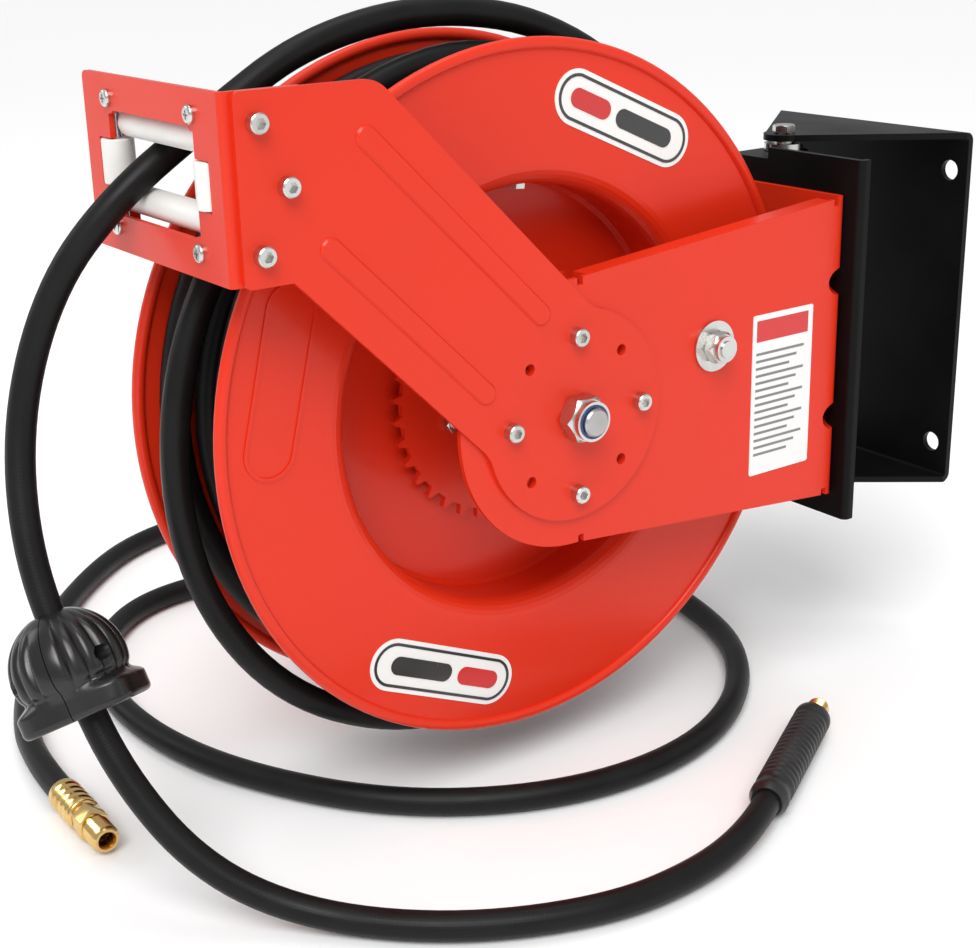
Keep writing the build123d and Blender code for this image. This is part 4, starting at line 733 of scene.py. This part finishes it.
# ---- hose stopper -----------------------------------------------------------------------------
@dataclass
class Stopper:
    """Ribbed ball that stops the hose at the rollers: two halves that are clamped on it."""

    hoses: Hoses
    at: int = 21                                # it sits at this point of the free hose
    facing: Point = (-0.75, 0.66, 0.0)          # the near half's side
    radius: float = 30.5
    bore: float = 8.0
    gap: float = 0.25                           # from the parting plane to each half
    ribs: int = 20                              # round the whole ball
    groove: float = 2.2
    lens: tuple[float, float] = (-6.0, 21.0)    # middle and half length of the grooves
    plain_rim: tuple[float, float] = (0.12, 0.2)    # no grooves by the parting plane, as cosines
    waist: tuple[float, float, float] = (1.6, 11.5, 2.6)    # depth, height and spread
    foot: tuple[float, float] = (31.0, 25.0)    # half sizes across and along the parting plane
    foot_z: tuple[float, float, float] = (9.0, 16.5, 27.0)      # flare starts, is full, ends
    foot_power: float = 5.0                     # how square the foot's corners are
    foot_round: tuple[float, float] = (3.5, 3.0)    # height and inset of its rounded lower edge
    screw_y: float = 17.0
    recess: tuple[float, float] = (4.0, 12.2)   # radius, and where its floor is
    wall: float = 0.02                          # a recess's wall leans by twice this
    snap: float = 0.45                          # points this near a recess's rim move onto it
    columns: int = 180
    rows: int = 120
    bore_step: int = 12                         # rows of the skin to one row of the bore

    def seat(self) -> Matrix:
        """Matrix at the stopper: Z along the hose, X square to the parting plane.

        Returns:
            The matrix.
        """
        before, middle, after = self.hoses.free_points()[self.at - 1:self.at + 2]
        way = (after - before).normalized()
        out = Vector(self.facing)
        out = (out - way * out.dot(way)).normalized()
        return Matrix.Translation(middle) @ Matrix((out, way.cross(out), way)).transposed().to_4x4()

    def bore_shift(self, z: float) -> Vector:
        """How far the curved hose's middle is from the stopper's axis.

        Args:
            z: Height along the stopper's axis in millimetres.

        Returns:
            The shift in millimetres, in the stopper's own axes.
        """
        before, middle, after = self.hoses.free_points()[self.at - 1:self.at + 2]
        bend = (before + after - 2 * middle) / MM
        part = z / ((after - before).length / 2 / MM)
        return self.seat().to_3x3().inverted() @ (bend * (0.125 + part * part / 2))

    def outer(self, z: float, angle: float) -> float:
        """Outer radius at a height and an angle from the half's middle.

        Args:
            z: Height along the hose in millimetres.
            angle: Angle round the hose in radians.

        Returns:
            The radius in millimetres.
        """
        ball = math.sqrt(max(self.radius ** 2 - z * z, 0.0))
        middle, half = self.lens
        rim, fade = self.plain_rim
        lens = max(0.0, 1 - ((z - middle) / half) ** 2) * min(1.0, max(0.0, (math.cos(angle) - rim) / fade))
        groove = self.groove * lens * (1 - abs(math.sin(angle * self.ribs / 2))) ** 1.5
        start, full, end = self.foot_z
        part = min(1.0, max(0.0, (z - start) / (full - start)))
        part = part * part * (3 - 2 * part)
        power = self.foot_power
        square = sum(abs(side / size) ** power
                     for side, size in zip((math.cos(angle), math.sin(angle)), self.foot)) ** (-1 / power)
        tall, inset = self.foot_round
        edge = max(0.0, (z - end + tall) / tall)
        depth, height, spread = self.waist
        waist = ball - groove - depth * math.exp(-((z - height) / spread) ** 2)
        return (1 - part) * waist + part * (square - inset * (1 - math.sqrt(max(0.0, 1 - edge * edge))))

    def half(self, name: str, side: int, node: str) -> bpy.types.Object:
        """Make one half.

        Args:
            name: The piece's name.
            side: 1 for the near half, -1 for the far one.
            node: The CAD node that it replaces.

        Returns:
            The half.
        """
        mesh = bmesh.new()
        top = -math.sqrt(self.radius ** 2 - (self.bore + 1.6) ** 2)
        low = self.foot_z[2]
        heights = [top + (low - top) * i / self.rows for i in range(self.rows + 1)]
        columns = []
        for j in range(self.columns + 1):
            angle = math.pi * (j / self.columns - 0.5)
            rim = []
            for z in heights:
                out = self.outer(z, angle)
                rim.append(self.sunk(Vector((out * math.cos(angle), out * math.sin(angle), z))))
            for z in reversed(heights[::self.bore_step]):
                shift = self.bore_shift(z)
                x, y = self.bore * math.cos(angle) * side + shift.x, self.bore * math.sin(angle) + shift.y
                rim.append(Vector((max(0.0, x * side), y, z)))
            columns.append([mesh.verts.new(Vector(((p.x + self.gap) * side, p.y, p.z)) * MM) for p in rim])
        count = len(columns[0])
        for left, right in zip(columns, columns[1:]):
            for i in range(count):
                k = (i + 1) % count
                mesh.faces.new((left[i], left[k], right[k], right[i]))
        mesh.faces.new(columns[0])
        mesh.faces.new(columns[-1])
        bmesh.ops.transform(mesh, matrix=self.seat(), verts=mesh.verts)
        return add_piece(name, mesh, Look.STOPPER, "frame", [node], sharp=50)

    def sunk(self, point: Vector) -> Vector:
        """Push a point of the skin into a screw recess if it lies over one.

        Args:
            point: A point of the half, in millimetres in the stopper's own axes.

        Returns:
            The point, or its place in the recess.
        """
        wide, floor = self.recess
        side = math.copysign(self.screw_y, point.y)
        reach = Vector((point.y - side, point.z))
        if reach.length > wide + self.snap or point.x < floor:
            return point
        if reach.length > wide - self.snap:
            inside = reach.length < wide
            reach = reach.normalized() * (wide - self.wall if inside else wide + self.wall)
            return Vector((floor if inside else point.x, side + reach.x, reach.y))
        return Vector((floor, point.y, point.z))

    def build(self) -> list[bpy.types.Object]:
        """Make both halves."""
        return [self.half("ball_half_near", 1, "stopper_near"),
                self.half("ball_half_far", -1, "stopper_far")]


# ---- badges, label and nut ring ---------------------------------------------------------------
@dataclass
class Markings:
    """Blank badges on the near flange, the blank label on the frame and the lock nut's ring."""

    badge_radius: float = 165.0
    badge_angles: tuple[float, float] = (66.0, 246.0)
    border: tuple[float, float] = (99.0, 26.0)          # over it, in millimetres
    border_hole: tuple[float, float] = (95.6, 22.6)
    bar_height: float = 11.0
    bars: Sequence[tuple[str, float, float, Look]] = (  # word, length, shift along the badge
        ("red", 30.0, -26.0, Look.BADGE_RED), ("black", 44.0, 16.0, Look.BADGE_INK),
    )
    ink: float = 0.3                                    # thickness of the print on a badge
    ring_steps: int = 40
    label_head: tuple[float, float, float] = (0.90, 0.13, 0.86)     # up, height, width, as shares
    label_lines: int = 15
    line_top: float = 0.76
    line_step: float = 0.045
    line_height: float = 0.016
    line_widths: tuple[float, float, float] = (0.80, 0.68, 0.56)
    label_margin: float = 0.06
    label_ink: float = 0.0002                           # in metres, half of it sunk in the label

    def stadium(self, mesh: bmesh.types.BMesh, size: tuple[float, float], thick: float,
                hole: tuple[float, float] | None = None) -> None:
        """Add a slot-shaped plate, or a ring if it has a hole, lying on Z from 0 to its thickness.

        Args:
            mesh: The bmesh that gets it.
            size: Length over the round ends, and width, in millimetres.
            thick: Thickness in millimetres.
            hole: Size of a slot-shaped hole, or None for a full plate.
        """
        rims = []
        for length, width in [size] + ([hole] if hole else []):
            circle = bmesh.ops.create_circle(mesh, segments=48, radius=width / 2 * MM)["verts"]
            shift = (length - width) / 2 * MM
            for vert in circle:
                vert.co.x += math.copysign(shift, vert.co.x) if abs(vert.co.x) > 1e-7 else shift
            rims.append(circle)
        edges = list({edge for ring in rims for vert in ring for edge in vert.link_edges})
        if hole:
            faces = bmesh.ops.bridge_loops(mesh, edges=edges)["faces"]
        else:
            faces = bmesh.ops.contextual_create(mesh, geom=edges)["faces"]
        lifted = bmesh.ops.extrude_face_region(mesh, geom=faces, use_keep_orig=True)["geom"]
        raised = [item for item in lifted if isinstance(item, bmesh.types.BMVert)]
        bmesh.ops.translate(mesh, verts=raised, vec=(0, 0, thick * MM))

    def badge_place(self, angle: float, rise: float) -> Matrix:
        """Matrix from a badge's own plane to the near flange's face.

        Args:
            angle: The badge's angle round the drum, in degrees.
            rise: How far it stands off the badge's plate, in millimetres.

        Returns:
            The matrix.
        """
        turn = math.radians(angle)
        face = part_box("flange_badges")[0][1]
        middle = AXLE + Vector((math.cos(turn), 0, math.sin(turn))) * self.badge_radius * MM
        middle.y = face - rise * MM
        across = Vector((math.sin(turn), 0, -math.cos(turn)))
        out = Vector((0, -1, 0))
        up = out.cross(across)
        return Matrix.Translation(middle) @ Matrix((across, up, out)).transposed().to_4x4()

    def build(self) -> None:
        """Make the markings."""
        for number, angle in enumerate(self.badge_angles, 1):
            ring = bmesh.new()
            self.stadium(ring, self.border, self.ink, self.border_hole)
            bmesh.ops.transform(ring, matrix=self.badge_place(angle, 0.0), verts=ring.verts)
            add_piece(f"badge_border_{number}", ring, Look.BADGE_INK, "drum")
            for word, width, shift, look in self.bars:
                bar = bmesh.new()
                self.stadium(bar, (width, self.bar_height), self.ink)
                bmesh.ops.translate(bar, verts=bar.verts, vec=(shift * MM, 0, 0))
                bmesh.ops.transform(bar, matrix=self.badge_place(angle, 0.0), verts=bar.verts)
                add_piece(f"badge_{word}_bar_{number}", bar, look, "drum")
        self.label_bars()
        self.nut_ring()

    def label_bars(self) -> None:
        """Plain bars on the label where an information plate has its lines."""
        low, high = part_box("info_label")
        width, height = high[0] - low[0], high[2] - low[2]
        rows = [(*self.label_head, Look.BADGE_RED)]
        for k in range(self.label_lines):
            up = self.line_top - self.line_step * k
            rows.append((up, self.line_height, self.line_widths[k % len(self.line_widths)], Look.LABEL_INK))
        for number, (up, tall, wide, look) in enumerate(rows, 1):
            bar = bmesh.new()
            bmesh.ops.create_cube(bar, size=1.0)
            bmesh.ops.scale(bar, verts=bar.verts, vec=(width * wide, self.label_ink, height * tall))
            middle = (low[0] + width * (self.label_margin + wide / 2), low[1], low[2] + height * up)
            bmesh.ops.translate(bar, verts=bar.verts, vec=middle)
            add_piece(f"label_bar_{number}", bar, look, "frame")

    def nut_ring(self) -> None:
        """Blue nylon ring in the mouth of the big lock nut."""
        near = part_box("axle_nut")[0][1]
        ring = bmesh.new()
        outline = [(8.2, 0.0), (9.6, 0.0), (9.6, 0.4), (9.2, 0.6), (8.6, 0.6), (8.2, 0.3)]
        spin_profile(ring, outline, self.ring_steps)
        place = frame_along(Vector((AXLE.x, near, AXLE.z)), Vector((0, -1, 0)))
        bmesh.ops.transform(ring, matrix=place, verts=ring.verts)
        add_piece("lock_nut_ring", ring, Look.NYLON, "frame")


# ---- studio -----------------------------------------------------------------------------------
@dataclass
class Studio:
    """Plain floor, soft lights and the camera."""

    eye: Point = (-548.42, -769.15, 273.01)          # from the axle, in millimetres
    right: Point = (0.80920, -0.58708, -0.02296)
    up: Point = (0.21151, 0.25463, 0.94362)
    forward: Point = (0.54813, 0.76844, -0.33022)
    lens: float = 61.33
    shift: tuple[float, float] = (0.004, -0.001)
    sensor: float = 36.0
    floor_gap: float = 0.0008                        # the hoses lie this far above the floor
    floor_half: float = 60.0
    floor_tone: float = 0.97
    floor_rough: float = 0.7
    lamps: Sequence[tuple[str, Point, float, float]] = (    # place from the axle, size, watts
        ("key", (-1.6, -1.6, 1.9), 0.8, 9.0), ("fill", (1.3, -2.2, 0.9), 1.2, 2.0),
        ("top", (0.2, 0.3, 2.4), 1.2, 9.0), ("rim", (-1.4, 1.8, 1.0), 1.0, 6.0),
    )
    sky_from: Point = (-1.2, -1.5, 2.4)
    sky_power: float = 2.1
    sky_spread: float = 40.0                         # degrees, so its shadows are soft
    world_light: float = 0.5                         # what lights the reel
    world_seen: float = 1.0                          # what shows past the floor's edge

    def build(self) -> None:
        """Make the floor, the lights, the world and the camera."""
        bpy.context.scene.view_settings.view_transform = "Standard"
        self.floor()
        self.lights()
        self.camera()

    def floor(self) -> None:
        """Wide pale floor under the hoses."""
        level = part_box("feed_hose")[0][2] - self.floor_gap
        mesh = bmesh.new()
        bmesh.ops.create_grid(mesh, x_segments=1, y_segments=1, size=self.floor_half)
        bmesh.ops.translate(mesh, verts=mesh.verts, vec=(0, 0, level))
        data = bpy.data.meshes.new("floor")
        mesh.to_mesh(data)
        mesh.free()
        floor = bpy.data.objects.new("floor", data)
        bpy.context.scene.collection.objects.link(floor)
        plain = bpy.data.materials.new("floor")
        plain.use_nodes = True
        skin = plain.node_tree.nodes["Principled BSDF"]
        skin.inputs["Base Color"].default_value = (self.floor_tone, self.floor_tone, self.floor_tone, 1)
        skin.inputs["Roughness"].default_value = self.floor_rough
        data.materials.append(plain)

    def lights(self) -> None:
        """Broad soft lights and an even pale world."""
        for name, place, size, power in self.lamps:
            data = bpy.data.lights.new(name, "AREA")
            data.size = size
            data.energy = power
            lamp = bpy.data.objects.new(name, data)
            lamp.location = AXLE + Vector(place)
            lamp.rotation_euler = (-Vector(place)).to_track_quat("-Z", "Y").to_euler()
            bpy.context.scene.collection.objects.link(lamp)
        sky = bpy.data.lights.new("sky", "SUN")
        sky.energy = self.sky_power
        sky.angle = math.radians(self.sky_spread)
        lamp = bpy.data.objects.new("sky", sky)
        lamp.rotation_euler = (-Vector(self.sky_from)).to_track_quat("-Z", "Y").to_euler()
        bpy.context.scene.collection.objects.link(lamp)
        world = bpy.data.worlds.new("studio")
        world.use_nodes = True
        tree = world.node_tree
        ray = tree.nodes.new("ShaderNodeLightPath")
        strength = tree.nodes.new("ShaderNodeMapRange")
        strength.inputs["To Min"].default_value = self.world_light
        strength.inputs["To Max"].default_value = self.world_seen
        tree.links.new(ray.outputs["Is Camera Ray"], strength.inputs["Value"])
        tree.nodes["Background"].inputs["Color"].default_value = (1, 1, 1, 1)
        tree.links.new(strength.outputs["Result"], tree.nodes["Background"].inputs["Strength"])
        bpy.context.scene.world = world

    def camera(self) -> None:
        """Camera at the reference view."""
        data = bpy.data.cameras.new("camera")
        data.sensor_fit = "HORIZONTAL"
        data.sensor_width = self.sensor
        data.lens = self.lens
        data.shift_x, data.shift_y = self.shift
        data.clip_start = 0.01
        camera = bpy.data.objects.new("camera", data)
        turn = Matrix((self.right, self.up, -Vector(self.forward))).transposed()
        camera.matrix_world = Matrix.Translation(at_axle(self.eye)) @ turn.to_4x4()
        bpy.context.scene.collection.objects.link(camera)
        bpy.context.scene.camera = camera


def main() -> None:
    """Dress the frame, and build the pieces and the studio."""
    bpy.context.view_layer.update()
    dress_nodes()
    hoses = Hoses()
    fittings = EndFittings(hoses)
    grip, nipple, feed = fittings.grip(), fittings.nipple(), fittings.feed()
    halves = Stopper(hoses).build()
    hoses.build([grip, nipple, *halves, "stopper_screws"], [feed])
    Markings().build()
    Studio().build()


if __name__ == "__main__":
    main()
